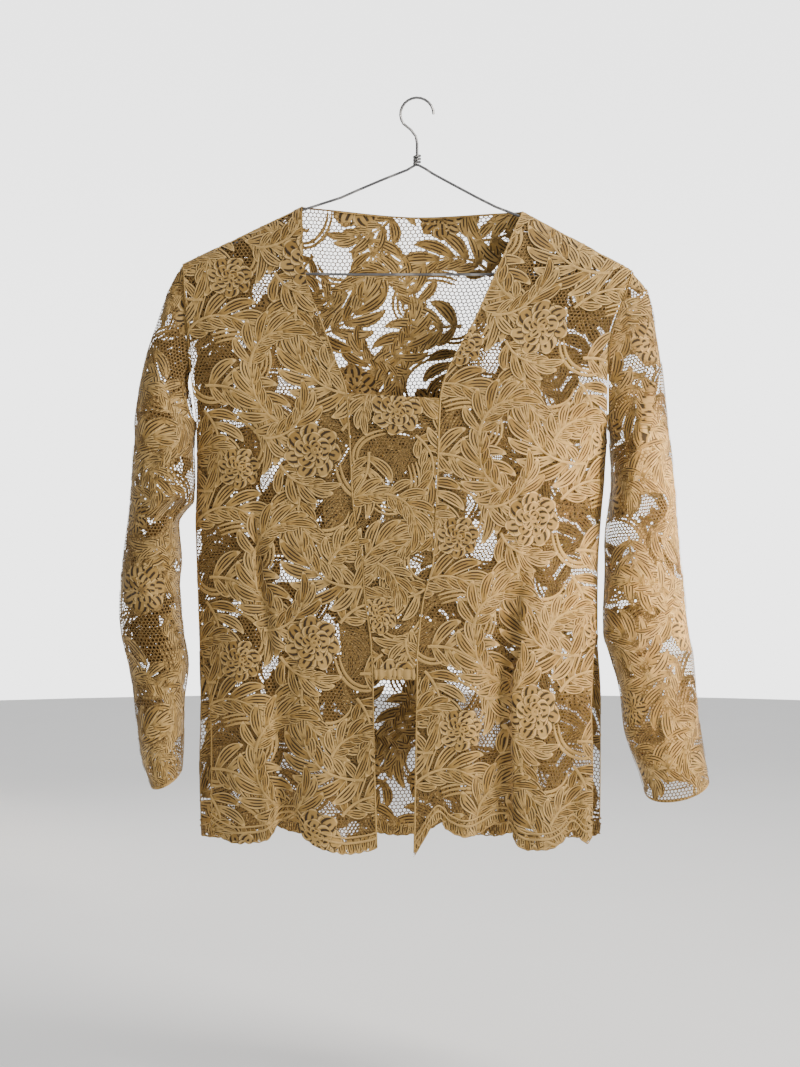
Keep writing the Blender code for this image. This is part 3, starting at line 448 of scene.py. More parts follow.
def sleeve_points(right, row, angle):
    """Points of a sleeve, from its armhole at row 0 to its cuff at row 1."""
    rows = RIGHT_SLEEVE if right else LEFT_SLEEVE
    folds = RIGHT_SLEEVE_FOLDS if right else LEFT_SLEEVE_FOLDS
    outer_x, outer_drop = read(rows, "outer_x", row, "row"), read(rows, "outer_drop", row, "row")
    inner_x, inner_drop = read(rows, "inner_x", row, "row"), read(rows, "inner_drop", row, "row")
    depth = read(rows, "half_depth", row, "row")
    share = (1 - np.cos(angle)) / 2
    x, drop = outer_x + (inner_x - outer_x) * share, outer_drop + (inner_drop - outer_drop) * share
    loop_x, loop_half = armhole_loop(right, angle)
    chord_x = rows["outer_x"][0] + (rows["inner_x"][0] - rows["outer_x"][0]) * share
    near = 1 - ramp(row / ARMHOLE_ROWS)
    x = x + (loop_x - chord_x) * near
    half = np.abs(np.sin(angle)) ** SLEEVE_POWER
    half = depth * half * (1 - near) + loop_half * depth / ARMHOLE_HALF_DEPTH * near
    front = np.sin(angle)
    side = np.where(front >= 0, -1, 1)
    raised = np.where(side < 0, line_folds(folds, x, drop, -1), line_folds(folds, x, drop, 1))
    y = side * (half + raised * ramp(np.abs(front) * SLEEVE_SIDE_RATE) * ramp(row / SLEEVE_CALM_ROWS))
    dip = CUFF_DIP_RIGHT if right else CUFF_DIP_LEFT
    drop = drop + dip * front * ramp((row - CUFF_DIP_START) / (1 - CUFF_DIP_START))
    outwards = -1 if right else 1
    clear = ARMHOLE_CLEAR_RIGHT if right else ARMHOLE_CLEAR_LEFT
    clear = clear + UNDERARM_CLEAR * ramp((share - UNDERARM_SHARE) / (1 - UNDERARM_SHARE))
    x = x + outwards * clear * (1 - ramp(row / CLEAR_ROWS))
    return np.stack([x, y, -drop], axis=-1)


# The panel between the front edges, and where flat cloth is measured on the body
PANEL_TOP_RIGHT = 296.0
PANEL_TOP_LEFT = 301.0
PANEL_BOTTOM = 579.0
MEASURED_DROP = 520.0
HEM_FADE = 12.0
HEM_FINE = 0.5
FACING_HEM_GAP = 3.4
ECHO_SMOOTH = 5.0

# A whole round of the body in turns, the turn at the back's middle, and how finely the body is measured
WHOLE_TURN = 4
BACK_TURN = 2.0
BACK_HEM_POINTS = 1200
MEASURED_TURNS = 801

# Where the search for the upper edge starts, how often an edge is sought again, and a panel's reach
TOP_GUESS = 140.0
TOP_ROUNDS = 4
TRIM_ROUNDS = 2
REACH_TOP, REACH_BOTTOM = 100.0, 760.0
REACH_POINTS = 200

# Creases fade over this length below the shoulder
CREASE_CALM_LENGTH = 40

# The three rows of points of a band: its outer side, its middle and its inner side
BAND_SHARES = (0.0, 0.5, 1.0)

# Creases, hem waves and dart lines on top of the main folds, as lines on the front (-1) or the back (1)
BODY_CREASES = table(
    "side x0 drop0 x1 drop1 width height",
    (-1, -166, 330, -141, 760, 3, -1.8),
    (-1, -150, 340, -126, 760, 7, 1.4),
    (-1, 126, 335, 92, 760, 3, -1.8),
    (-1, 112, 340, 78, 760, 7, 1.4),
    (-1, -128, 540, -136, 790, 10, -4.0),
    (-1, -98, 520, -92, 790, 15, 3.0),
    (-1, -176, 440, -170, 790, 14, 3.2),
    (-1, 30, 600, 23, 790, 9, -3.0),
    (-1, 50, 540, 52, 790, 12, 2.6),
    (-1, 88, 470, 84, 790, 12, -6.5),
    (-1, 116, 470, 122, 790, 14, 3.2),
    (-1, 150, 560, 156, 790, 9, -3.4),
    (-1, -222, 250, -176, 300, 5, 0.9),
    (-1, -205, 350, -150, 372, 5, -0.8),
    (-1, -188, 428, -140, 446, 6, 0.8),
    (-1, -110, 300, -84, 420, 6, 0.7),
    (-1, -104, 470, -60, 520, 5, -0.8),
    (-1, -198, 620, -170, 700, 6, 1.0),
    (-1, -92, 640, -84, 740, 5, 0.9),
    (-1, 196, 262, 150, 300, 5, 0.9),
    (-1, 176, 380, 120, 402, 5, -0.8),
    (-1, 60, 330, 96, 440, 6, 0.8),
    (-1, 24, 480, 66, 520, 5, 0.8),
    (-1, 160, 566, 148, 650, 6, -1.0),
    (-1, 124, 640, 118, 742, 5, 1.0),
    (1, -118, 470, -112, 790, 13, 3.2),
    (1, -84, 520, -80, 790, 10, -3.6),
    (1, 36, 560, 42, 790, 12, -3.0),
    (1, 90, 500, 96, 790, 14, 3.2),
    (1, 128, 440, 134, 790, 10, -3.0),
    (1, -96, 200, -112, 400, 12, 1.6),
    (1, -210, 300, -150, 330, 6, 0.9),
    (1, -150, 420, -60, 446, 6, -0.8),
    (1, -30, 200, 24, 330, 7, 0.7),
    (1, 60, 400, 130, 430, 6, 0.8),
    (1, 176, 300, 120, 336, 6, 0.9),
    (1, -90, 600, -80, 735, 6, 1.0),
    (1, 98, 610, 92, 735, 6, 1.0),
    (1, -150, 640, -156, 735, 6, -0.9),
    (1, 10, 640, 14, 735, 6, -0.9),
)
SLEEVE_CREASES = table(
    "side x0 drop0 x1 drop1 width height",
    (-1, -236, 410, -280, 424, 4, 0.9),
    (-1, -226, 372, -274, 386, 5, -0.8),
    (-1, -244, 448, -290, 462, 5, 0.8),
    (-1, -248, 520, -290, 548, 5, -0.9),
    (-1, -240, 590, -276, 600, 5, 0.8),
    (-1, -244, 640, -272, 660, 5, 0.9),
    (-1, 200, 410, 250, 432, 5, 0.9),
    (-1, 196, 470, 262, 500, 5, -0.9),
    (-1, 204, 556, 272, 572, 5, 0.9),
    (-1, 214, 620, 282, 640, 5, -0.8),
    (-1, 226, 664, 284, 672, 5, 0.8),
    (-1, 208, 300, 244, 350, 5, 0.8),
    (1, -236, 412, -282, 430, 5, 0.9),
    (1, -246, 530, -286, 556, 5, 0.9),
    (1, 200, 440, 258, 470, 5, 0.9),
    (1, 208, 570, 276, 592, 5, -0.9),
)


def hem_line(rows, x_end_fade):
    """Turns and drops along a front's scalloped hem."""
    x = np.arange(rows["x"][0], rows["x"][-1], HEM_FINE)
    drop = smooth(x, rows["x"], rows["drop"])
    fade = np.minimum(ramp((x - x[0]) / x_end_fade), ramp((x[-1] - x) / x_end_fade))
    drop = drop - small_scallops(x - x[0]) * fade
    return turn_at(x, drop), drop


def back_hem_line():
    """Turns and drops along the back's scalloped hem, from the left seam to the right seam."""
    corner = np.array([BACK_HEM_LOW - BACK_SCALLOP_DEPTH])
    right_turn, left_turn = seam_turns(corner)
    left_turn = (left_turn + gap_turn(left_turn, corner, 1))[0]
    right_turn = (right_turn + WHOLE_TURN - gap_turn(right_turn, corner, 1))[0]
    turns = np.linspace(left_turn, right_turn, BACK_HEM_POINTS)
    points = body(turns, np.full(turns.shape, BACK_HEM_LOW), 1)
    length = np.concatenate([[0], np.cumsum(np.linalg.norm(np.diff(points, axis=0), axis=1))])
    wave = np.abs(np.sin(np.pi * BACK_SCALLOPS * length / length[-1])) ** BACK_SCALLOP_POWER
    fade = np.minimum(ramp(length / HEM_FADE), ramp((length[-1] - length) / HEM_FADE))
    drops = BACK_HEM_LOW - BACK_SCALLOP_DEPTH * (1 - wave) - small_scallops(length) * fade
    return turns, drops


class BodyGround:
    """Flat cloth of a body panel: its length runs down the drop and its width round the body."""

    def __init__(self, piece):
        self.piece = piece
        self.side = 1 if piece == "back" else -1
        self.right = piece.endswith("right")
        self.inset = WALL + LAYER_GAP if "facing" in piece else 0.0
        centre = BACK_TURN if piece == "back" else 0.0
        self.turns = centre + np.linspace(-1.0, 1.0, MEASURED_TURNS)
        points = body(self.turns, np.full(self.turns.shape, MEASURED_DROP), self.side)
        steps = np.linalg.norm(np.diff(points, axis=0), axis=1)
        self.widths = np.concatenate([[0], np.cumsum(steps)]) - steps.sum() / 2
        if piece == "back":
            self.hem_turns, self.hem_drops = back_hem_line()
        else:
            hem = RIGHT_HEM if self.right else LEFT_HEM
            self.hem_turns, self.hem_drops = hem_line(hem, HEM_FADE)

    def x_of(self, turn, drop):
        middle, half = section(drop)
        return middle + half * np.sin(np.pi / 2 * turn)

    def edge_x(self, drop):
        return read(RIGHT_EDGE if self.right else LEFT_EDGE, "x", drop)

    def low(self, drop):
        """The lowest turn of the panel at a drop."""
        if self.piece == "back":
            seam = seam_turns(drop)[1]
            return seam + gap_turn(seam, drop, 1)
        if self.piece == "panel":
            return turn_at(read(RIGHT_EDGE, "x", drop) + SEAM_GAP, drop)
        if self.piece == "facing_right":
            return turn_at(self.edge_x(drop) - FACING_WIDTH, drop)
        if self.right:
            seam = seam_turns(drop)[0]
            return seam + gap_turn(seam, drop, -1)
        return turn_at(self.edge_x(drop), drop)

    def high(self, drop):
        """The highest turn of the panel at a drop."""
        if self.piece == "back":
            seam = seam_turns(drop)[0] + WHOLE_TURN
            return seam - gap_turn(seam, drop, 1)
        if self.piece == "panel":
            return turn_at(read(LEFT_EDGE, "x", drop) - SEAM_GAP, drop)
        if self.piece == "facing_left":
            return turn_at(self.edge_x(drop) + FACING_WIDTH, drop)
        if self.right:
            return turn_at(self.edge_x(drop), drop)
        seam = seam_turns(drop)[1]
        return seam - gap_turn(seam, drop, -1)

    def top(self, turn):
        """The drop of the panel's upper edge at a turn."""
        if self.piece == "panel":
            x = self.x_of(turn, PANEL_TOP_RIGHT)
            right_x = read(RIGHT_EDGE, "x", PANEL_TOP_RIGHT)
            left_x = read(LEFT_EDGE, "x", PANEL_TOP_LEFT)
            share = np.clip((x - right_x) / (left_x - right_x), 0, 1)
            return PANEL_TOP_RIGHT + (PANEL_TOP_LEFT - PANEL_TOP_RIGHT) * share
        drop = np.full(np.shape(turn), TOP_GUESS)
        for _ in range(TOP_ROUNDS):
            x = self.x_of(turn, drop)
            drop = shoulder(x)
            if self.piece == "back":
                share = np.clip((x - NECK_RIGHT_X) / (NECK_LEFT_X - NECK_RIGHT_X), 0, 1)
                neck = NECK_RIGHT_DROP + (NECK_LEFT_DROP - NECK_RIGHT_DROP) * share
                neck = neck + BACK_NECK_DIP * np.sin(np.pi * share) ** 2
                drop = np.where((x > NECK_RIGHT_X) & (x < NECK_LEFT_X), neck, drop)
        if self.inset:
            edge = RIGHT_EDGE if self.right else LEFT_EDGE
            drop = np.maximum(drop, edge["drop"][0]) + FACING_START
        return drop

    def hem(self, turn):
        """The drop of the panel's lower edge at a turn."""
        if self.piece == "panel":
            return np.full(np.shape(turn), PANEL_BOTTOM)
        drop = np.interp(turn, self.hem_turns, self.hem_drops)
        return drop - FACING_HEM_GAP if self.inset else drop

    def turn_of(self, width):
        return np.interp(width, self.widths, self.turns)

    def width_of(self, turn):
        return np.interp(turn, self.turns, self.widths)

    def trim(self, flat):
        """Moves flat points that lie outside the cut onto its edges."""
        turn, drop = self.turn_of(flat[:, 0]), flat[:, 1]
        for _ in range(TRIM_ROUNDS):
            drop = np.minimum(np.maximum(drop, self.top(turn)), self.hem(turn))
            turn = np.minimum(np.maximum(turn, self.low(drop)), self.high(drop))
        return np.stack([self.width_of(turn), drop], axis=1)

    def bounds(self):
        drops = np.linspace(REACH_TOP, REACH_BOTTOM, REACH_POINTS)
        low, high = self.width_of(self.low(drops).min()), self.width_of(self.high(drops).max())
        turns = np.linspace(self.turns[0], self.turns[-1], REACH_POINTS)
        keep = (turns > self.low(drops).min()) & (turns < self.high(drops).max())
        return low, high, self.top(turns[keep]).min(), self.hem(turns[keep]).max()

    def lay(self, flat, lift):
        """Points of the body for trimmed flat points, raised off the cloth's middle."""
        turn, drop = self.turn_of(flat[:, 0]), flat[:, 1]
        points = body(turn, drop, self.side)
        normals = body_normal(turn, drop, self.side)
        calm = ramp((drop - shoulder(points[:, 0])) / CREASE_CALM_LENGTH)
        lift = lift + line_folds(BODY_CREASES, points[:, 0], drop, self.side) * calm - self.inset
        return points + normals * lift[:, None]

    def rim(self, which, reach, step, start=0.0):
        """Flat points along an edge, from start to start and reach inside it, as rows of three."""
        low, high, first, last = self.bounds()
        if which in ("top", "hem"):
            width = np.arange(low, high, step)
            turn = self.turn_of(width)
            drop = self.top(turn) if which == "top" else self.hem(turn)
            keep = (turn > self.low(drop)) & (turn < self.high(drop))
            width, drop = width[keep], drop[keep]
            if start > 0:
                spread = int(ECHO_SMOOTH / step)
                padded = np.pad(drop, spread, mode="edge")
                drop = np.convolve(padded, np.ones(2 * spread + 1) / (2 * spread + 1), mode="valid")
            inwards = 1 if which == "top" else -1
            depths = [inwards * (start + reach * share) for share in BAND_SHARES]
            rows = [np.stack([width, drop + depth], axis=1) for depth in depths]
        else:
            drop = np.arange(first, last, step)
            turn = self.low(drop) if which == "low" else self.high(drop)
            width = self.width_of(turn)
            keep = (drop > self.top(turn)) & (drop < self.hem(turn))
            width, drop = width[keep], drop[keep]
            inwards = reach if which == "low" else -reach
            rows = [np.stack([width + inwards * share, drop], axis=1) for share in BAND_SHARES]
        return np.stack(rows, axis=1)


# The sleeve's flat grids, how it is spread out, and how its cap is narrowed
FLAT_ROWS, FLAT_COLUMNS = 26, 33
FINE_ROWS, FINE_COLUMNS = 256, 160
RELAX_STEPS = 700
RELAX_RATE = 1.6
CAP_ROW = 0.3
CAP_NARROW = 0.86
LOOK_CELL = 2.0
LOOK_MARGIN = 40.0
TINY_ANGLE = 1e-5

# How a flat point's place on the grid is sought: rounds, longest step, smallest cell area
PLACE_ROUNDS = 5
LONGEST_STEP = 6
SMALLEST_CELL = 1e-6
JUST_OVER_ONE = 1.0001
FIRST_INNER_ROW = 0.002

# An edge's direction inwards is read this many cells in, and the lengths give its number of points
RIM_CELLS = 8.0
ROUND_LENGTH = 340
SEAM_LENGTH = 360


class SleeveGround:
    """Flat cloth of a sleeve, slit along its inner seam and spread out."""

    def __init__(self, right):
        self.right = right
        rows = RIGHT_SLEEVE if right else LEFT_SLEEVE
        self.row_table = rows["row"]
        row = self.row_of(np.linspace(0, 1, FLAT_ROWS))
        angle = np.linspace(-np.pi, np.pi, FLAT_COLUMNS)
        grid_row, grid_angle = np.meshgrid(row, angle, indexing="ij")
        points = sleeve_points(right, grid_row, grid_angle)
        level = np.linalg.norm(np.diff(points[..., :2], axis=1), axis=-1)
        away = np.concatenate([np.zeros((FLAT_ROWS, 1)), np.cumsum(level, axis=1)], axis=1)
        away = away - away[:, FLAT_COLUMNS // 2][:, None]
        cap = row < CAP_ROW
        widest = away[cap.sum()]
        away[cap] = widest * (CAP_NARROW + (1 - CAP_NARROW) * row[cap] / CAP_ROW)[:, None]
        flat = np.stack([away, -points[..., 2]], axis=-1)
        flat = self.spread_out(points, flat)
        self.flat = self.finer(flat)
        self.start_look()

    def row_of(self, share):
        """Rows of the sleeve's table, evenly spread over its entries."""
        count = len(self.row_table) - 1
        return np.interp(share * count, np.arange(count + 1), self.row_table)

    def spread_out(self, points, flat):
        """Moves flat points until the distances between neighbours are those on the sleeve."""
        index = np.arange(FLAT_ROWS * FLAT_COLUMNS).reshape(FLAT_ROWS, FLAT_COLUMNS)
        pairs = [(index[:-1], index[1:]), (index[:, :-1], index[:, 1:])]
        pairs += [(index[:-1, :-1], index[1:, 1:]), (index[:-1, 1:], index[1:, :-1])]
        a = np.concatenate([first.ravel() for first, _ in pairs])
        b = np.concatenate([second.ravel() for _, second in pairs])
        solid, spread = points.reshape(-1, 3), flat.reshape(-1, 2).copy()
        rest = np.linalg.norm(solid[a] - solid[b], axis=1)
        shared = np.bincount(np.concatenate([a, b]), minlength=len(spread))[:, None]
        for _ in range(RELAX_STEPS):
            between = spread[b] - spread[a]
            length = np.maximum(np.linalg.norm(between, axis=1), TINY)
            pull = between * ((length - rest) / length * 0.5)[:, None]
            move = np.zeros_like(spread)
            for axis in (0, 1):
                move[:, axis] += np.bincount(a, pull[:, axis], len(spread))
                move[:, axis] -= np.bincount(b, pull[:, axis], len(spread))
            spread += move / shared * RELAX_RATE
        return spread.reshape(flat.shape)

    def finer(self, flat):
        """The flat points again on a finer grid."""
        row = np.linspace(0, FLAT_ROWS - 1, FINE_ROWS)
        column = np.linspace(0, FLAT_COLUMNS - 1, FINE_COLUMNS)
        rows, columns = np.arange(FLAT_ROWS), np.arange(FLAT_COLUMNS)
        made = []
        for axis in (0, 1):
            down = [np.interp(row, rows, flat[:, c, axis]) for c in columns]
            made.append(np.stack([np.interp(column, columns, one) for one in np.stack(down, axis=1)]))
        return np.stack(made, axis=-1)

    def start_look(self):
        """A coarse map from flat places to the grid, filled outwards past the cloth's edges."""
        self.corner = self.flat.reshape(-1, 2).min(axis=0) - LOOK_MARGIN
        size = self.flat.reshape(-1, 2).max(axis=0) + LOOK_MARGIN - self.corner
        shape = (size / LOOK_CELL).astype(int) + 1
        found = np.full((shape[0], shape[1], 2), np.nan)
        row, column = np.meshgrid(np.arange(FINE_ROWS), np.arange(FINE_COLUMNS), indexing="ij")
        cell = ((self.flat - self.corner) / LOOK_CELL).astype(int)
        found[cell[..., 0], cell[..., 1], 0] = row
        found[cell[..., 0], cell[..., 1], 1] = column
        while np.isnan(found[..., 0]).any():
            for axis in (0, 1):
                for shift in (1, -1):
                    moved = np.roll(found, shift, axis=axis)
                    edge = 0 if shift == 1 else -1
                    if axis == 0:
                        moved[edge] = np.nan
                    else:
                        moved[:, edge] = np.nan
                    empty = np.isnan(found[..., 0])
                    found[empty] = moved[empty]
        self.look = found

    def flat_at(self, place):
        """Flat points at fractional grid places."""
        row = np.clip(place[:, 0], 0, FINE_ROWS - JUST_OVER_ONE)
        column = np.clip(place[:, 1], 0, FINE_COLUMNS - JUST_OVER_ONE)
        r, c = row.astype(int), column.astype(int)
        fr, fc = (row - r)[:, None], (column - c)[:, None]
        grid = self.flat
        upper = grid[r, c] * (1 - fc) + grid[r, c + 1] * fc
        lower = grid[r + 1, c] * (1 - fc) + grid[r + 1, c + 1] * fc
        return upper * (1 - fr) + lower * fr, grid[r + 1, c] - grid[r, c], grid[r, c + 1] - grid[r, c]

    def place_of(self, flat):
        """Fractional grid places of flat points, held at the cloth's edges."""
        cell = ((flat - self.corner) / LOOK_CELL).astype(int)
        cell = np.clip(cell, 0, np.array(self.look.shape[:2]) - 1)
        place = self.look[cell[:, 0], cell[:, 1]].copy()
        for _ in range(PLACE_ROUNDS):
            here, down, along = self.flat_at(place)
            miss = flat - here
            area = down[:, 0] * along[:, 1] - down[:, 1] * along[:, 0]
            area = np.where(np.abs(area) < SMALLEST_CELL, SMALLEST_CELL, area)
            step_row = (miss[:, 0] * along[:, 1] - miss[:, 1] * along[:, 0]) / area
            step_column = (down[:, 0] * miss[:, 1] - down[:, 1] * miss[:, 0]) / area
            for axis, step, last in ((0, step_row, FINE_ROWS - 1), (1, step_column, FINE_COLUMNS - 1)):
                moved = place[:, axis] + np.clip(step, -LONGEST_STEP, LONGEST_STEP)
                place[:, axis] = np.clip(moved, 0, last)
        return place

    def trim(self, flat):
        """Moves flat points that lie outside the cut onto its edges."""
        return self.flat_at(self.place_of(flat))[0]

    def bounds(self):
        low, high = self.flat.reshape(-1, 2).min(axis=0), self.flat.reshape(-1, 2).max(axis=0)
        return low[0], high[0], low[1], high[1]

    def solid(self, row, angle):
        """Points of the creased sleeve."""
        points = sleeve_points(self.right, row, angle)
        x, drop, front = points[:, 0], -points[:, 2], np.sin(angle)
        on_front, on_back = (line_folds(SLEEVE_CREASES, x, drop, side) for side in (-1, 1))
        crease = np.where(front > 0, on_front, on_back)
        calm = ramp(np.abs(front) * SLEEVE_SIDE_RATE), ramp(row / SLEEVE_CALM_ROWS)
        points[:, 1] += np.where(front > 0, -1, 1) * crease * calm[0] * calm[1]
        return points

    def lay(self, flat, lift):
        """Points of the sleeve for trimmed flat points, raised off the cloth's middle."""
        place = self.place_of(flat)
        row = self.row_of(place[:, 0] / (FINE_ROWS - 1))
        angle = (place[:, 1] / (FINE_COLUMNS - 1) * 2 - 1) * np.pi
        points = self.solid(row, angle)
        turned = self.solid(row, angle + TINY_ANGLE) - self.solid(row, angle - TINY_ANGLE)
        inner_row = np.clip(row, FIRST_INNER_ROW, 1 - 2 * TINY_ANGLE)
        down = self.solid(inner_row + TINY_ANGLE, angle) - self.solid(inner_row - TINY_ANGLE, angle)
        normals = unit(np.cross(turned, down))
        if not self.right:
            normals = -normals
        return points + normals * lift[:, None]

    def rim(self, which, reach, step, start=0.0):
        """Flat points along an edge, from start to start and reach inside it, as rows of three."""
        row = {"cuff": FINE_ROWS - 1.0, "armhole": 0.0}.get(which)
        if row is not None:
            column = np.linspace(0, FINE_COLUMNS - 1, int(ROUND_LENGTH / step))
            edge = self.flat_at(np.stack([np.full(column.shape, row), column], axis=1))[0]
            inside = self.flat_at(np.stack([np.full(column.shape, abs(row - RIM_CELLS)), column], axis=1))[0]
        else:
            column = {"low": 0.0, "high": FINE_COLUMNS - 1.0}[which]
            rows = np.linspace(0, FINE_ROWS - 1, int(SEAM_LENGTH / step))
            edge = self.flat_at(np.stack([rows, np.full(rows.shape, column)], axis=1))[0]
            inside = self.flat_at(np.stack([rows, np.full(rows.shape, abs(column - RIM_CELLS))], axis=1))[0]
        inwards = unit(inside - edge)
        return np.stack([edge + inwards * (start + reach * share) for share in BAND_SHARES], axis=1)


# The lace's repeat, drawn flat: sprays of lobed leaves, roses and echoing scrolls
REPEAT_WIDTH = 150.0
REPEAT_HEIGHT = 190.0
FRONDS = table(
    "x y heading turn length size lobes",
    (80, 80, -4, 96, 88, 42, 7),
    (26, 84, 112, -110, 82, 40, 7),
    (62, 30, -52, 100, 74, 36, 6),
    (8, 24, 200, 80, 60, 33, 5),
    (84, 184, 176, 84, 78, 38, 6),
    (126, 62, -84, 84, 54, 32, 5),
    (76, 104, 50, 60, 56, 34, 5),
    (134, 132, 4, -84, 54, 32, 5),
    (52, 162, -66, 66, 40, 26, 4),
    (152, 158, 60, -60, 42, 28, 4),
)
ROSES = table("x y radius turned", (34, 50, 29, 10), (110, 162, 22, 40))
SCROLLS = table(
    "x y heading turn length lines",
    (12, 96, 66, -150, 84, 3),
    (94, 38, -20, 170, 74, 3),
    (104, 112, 20, 140, 66, 2),
    (40, 134, 200, 150, 60, 2),
    (118, 14, 10, -120, 54, 2),
    (60, 62, 80, -140, 60, 2),
)
PETAL_RINGS = table(
    "count start reach width", (7, 0.34, 0.66, 0.92), (5, 0.14, 0.52, 0.86), (4, 0.04, 0.34, 0.6)
)
ECHO_GAP = 4.4
RIBBON_WIDTH = 3.4
SPINE_WIDTH = 3.4
SPINE_END_WIDTH = 1.6
SPINE_EASE = 1.2
SPINE_LAYER = 3

# A lobe: how its bend and its width grow along it, and how it rounds off at its tip
LOBE_EASE = 1.6
LOBE_BASE, LOBE_SWELL = 0.42, 0.58
LOBE_FULLEST, LOBE_FULL_POWER = 1.15, 1.1
LOBE_TIP_POWER, LOBE_TIP_ROUND, LOBE_TIP = 3.6, 0.7, 0.04
CORD_START = 0.6

# A frond's lobes: size along the spine, angle off it, and width, length and bend inside and outside its turn
FROND_BASE, FROND_SWELL = 0.62, 0.38
FROND_START, FROND_SPAN = 0.15, 0.7
LOBE_OUT, LOBE_OUT_DROP = 66, 44
LOBE_OFFSET = 0.5
INNER_LOBE = (0.9, 0.7, 32)
OUTER_LOBE = (1.12, 1.1, 54)
LOBE_LAYER = 0.3
TIP_BACK, TIP_BEND, TIP_WIDTH = 0.1, 0.5, 0.95

# A petal's width along it, its rounded end and how far its rim is drawn back
PETAL_START, PETAL_SPAN, PETAL_POWER = 0.14, 0.68, 0.9
PETAL_TIP_POWER, PETAL_TIP_ROUND, PETAL_TIP = 6, 0.5, 0.34
PETAL_BACK = 0.16
PETAL_CURL = 16

# A rose's rings and its rolled heart, in shares of its radius
RING_TURN, RING_LAYER, PETAL_LAYER = 13, 4, 0.2
HEART_OFF, HEART_LENGTH, HEART_HALF = 0.1, 0.9, 0.035
HEART_HEADING, HEART_TURN, HEART_EASE, HEART_LAYER = 90, 620, 0.7, 13

# A scroll's bend and how its ribbons swell
SCROLL_EASE = 1.7
SCROLL_START, SCROLL_END, SCROLL_POWER = 0.06, 0.97, 0.5

# The layers of the repeat and the seed of its tints
FROND_LAYER, ROSE_LAYER = 1.5, 14
TINT_SEED = 7

# Rows and columns of each form's patch
LOBE_SHAPE = (9, 7)
PETAL_SHAPE = (6, 7)
RIBBON_SHAPE = (20, 3)

# How far the forms stand off the cloth's middle
NET_LIFT = 0.1
MOTIF_LIFT = 0.25
LAYER_STEP = 0.05
CORD_LIFT = 0.28
DOME_LIFT = 0.25
RIBBON_LIFT = 0.55

# What each patch is, as its material reads it
KIND_NET, KIND_LOBE, KIND_PETAL, KIND_RIBBON, KIND_BAND = 0.0, 1.0, 2.0, 3.0, 4.0

MASK_CELL = 0.75
SMALLEST_FACE = 0.03
SHOWN_SHARES = (0.5, 0.85)

# The net: its corners, how near a motif ends it, its slow waves and the slope of its strands
NET_SIDES, NET_FIRST_CORNER, NET_CORNER = 6, 30, 60
NET_REACH, NET_MISS = 0.9, 0.1
NET_WAVE, NET_WAVE_DOWN, NET_WAVE_ACROSS = 0.16, 11, 9
NET_SLOPE = 0.12
NET_ALONG = 0.5

# Gathers across a band, and the hem's leaves
GATHER_RATE, GATHER_DRIFT, GATHER_DRIFT_RATE = 1.05, 1.7, 0.31
HEM_LEAN, HEM_LEAN_RATE = 16, 0.9
HEM_LENGTH, HEM_WIDTH, HEM_LAYER, HEM_TINT_RATE = 1.12, 1.1, 4, 2.3


def path(start, heading, turn, length, steps, ease=1.0):
    """Points and headings of a line that turns as it goes."""
    share = np.linspace(0, 1, steps)
    angle = np.radians(heading + turn * share**ease)
    step = length / (steps - 1)
    middle = (angle[1:] + angle[:-1]) / 2
    x = start[0] + np.concatenate([[0], np.cumsum(np.cos(middle) * step)])
    y = start[1] + np.concatenate([[0], np.cumsum(np.sin(middle) * step)])
    return np.stack([x, y], axis=1), angle


def strip(line, angle, half, columns):
    """Flat points of a strip: rows along the line, columns across it."""
    sideways = np.stack([-np.sin(angle), np.cos(angle)], axis=1)
    across = np.linspace(-1, 1, columns)
    return line[:, None, :] + sideways[:, None, :] * (half[:, None] * across[None, :])[..., None]


def patch(kind, flat, order, shape_lift):
    """A patch of the lace: its flat points and what its material and its lift need."""
    rows, columns = flat.shape[:2]
    along = np.broadcast_to(np.linspace(0, 1, rows)[:, None], (rows, columns))
    across = np.broadcast_to(np.linspace(-1, 1, columns)[None, :], (rows, columns))
    lift = MOTIF_LIFT + LAYER_STEP * order + shape_lift(np.abs(across))
    return {"kind": kind, "flat": flat, "along": along, "across": across, "lift": lift}


def leaf_lift(across):
    """A leaf lies in a low dome between the cords round its edge."""
    return DOME_LIFT * (1 - across**2) + CORD_LIFT * ramp((across - CORD_START) / (1 - CORD_START))


def ribbon_lift(across):
    return RIBBON_LIFT * (1 - across**2)


def lobe(start, heading, bend, length, width, order):
    """One lobe of a leaf: slim at its base, fullest past its middle, drawn to a rounded tip."""
    rows, columns = LOBE_SHAPE
    line, angle = path(start, heading, bend, length, rows, LOBE_EASE)
    share = np.linspace(0, 1, rows)
    full = LOBE_BASE + LOBE_SWELL * np.sin(np.pi * np.minimum(share / LOBE_FULLEST, 1) ** LOBE_FULL_POWER)
    full = full * np.clip(1 - share**LOBE_TIP_POWER, 0, 1) ** LOBE_TIP_ROUND
    full[-1] = LOBE_TIP
    return patch(KIND_LOBE, strip(line, angle, width / 2 * full, columns), order, leaf_lift)


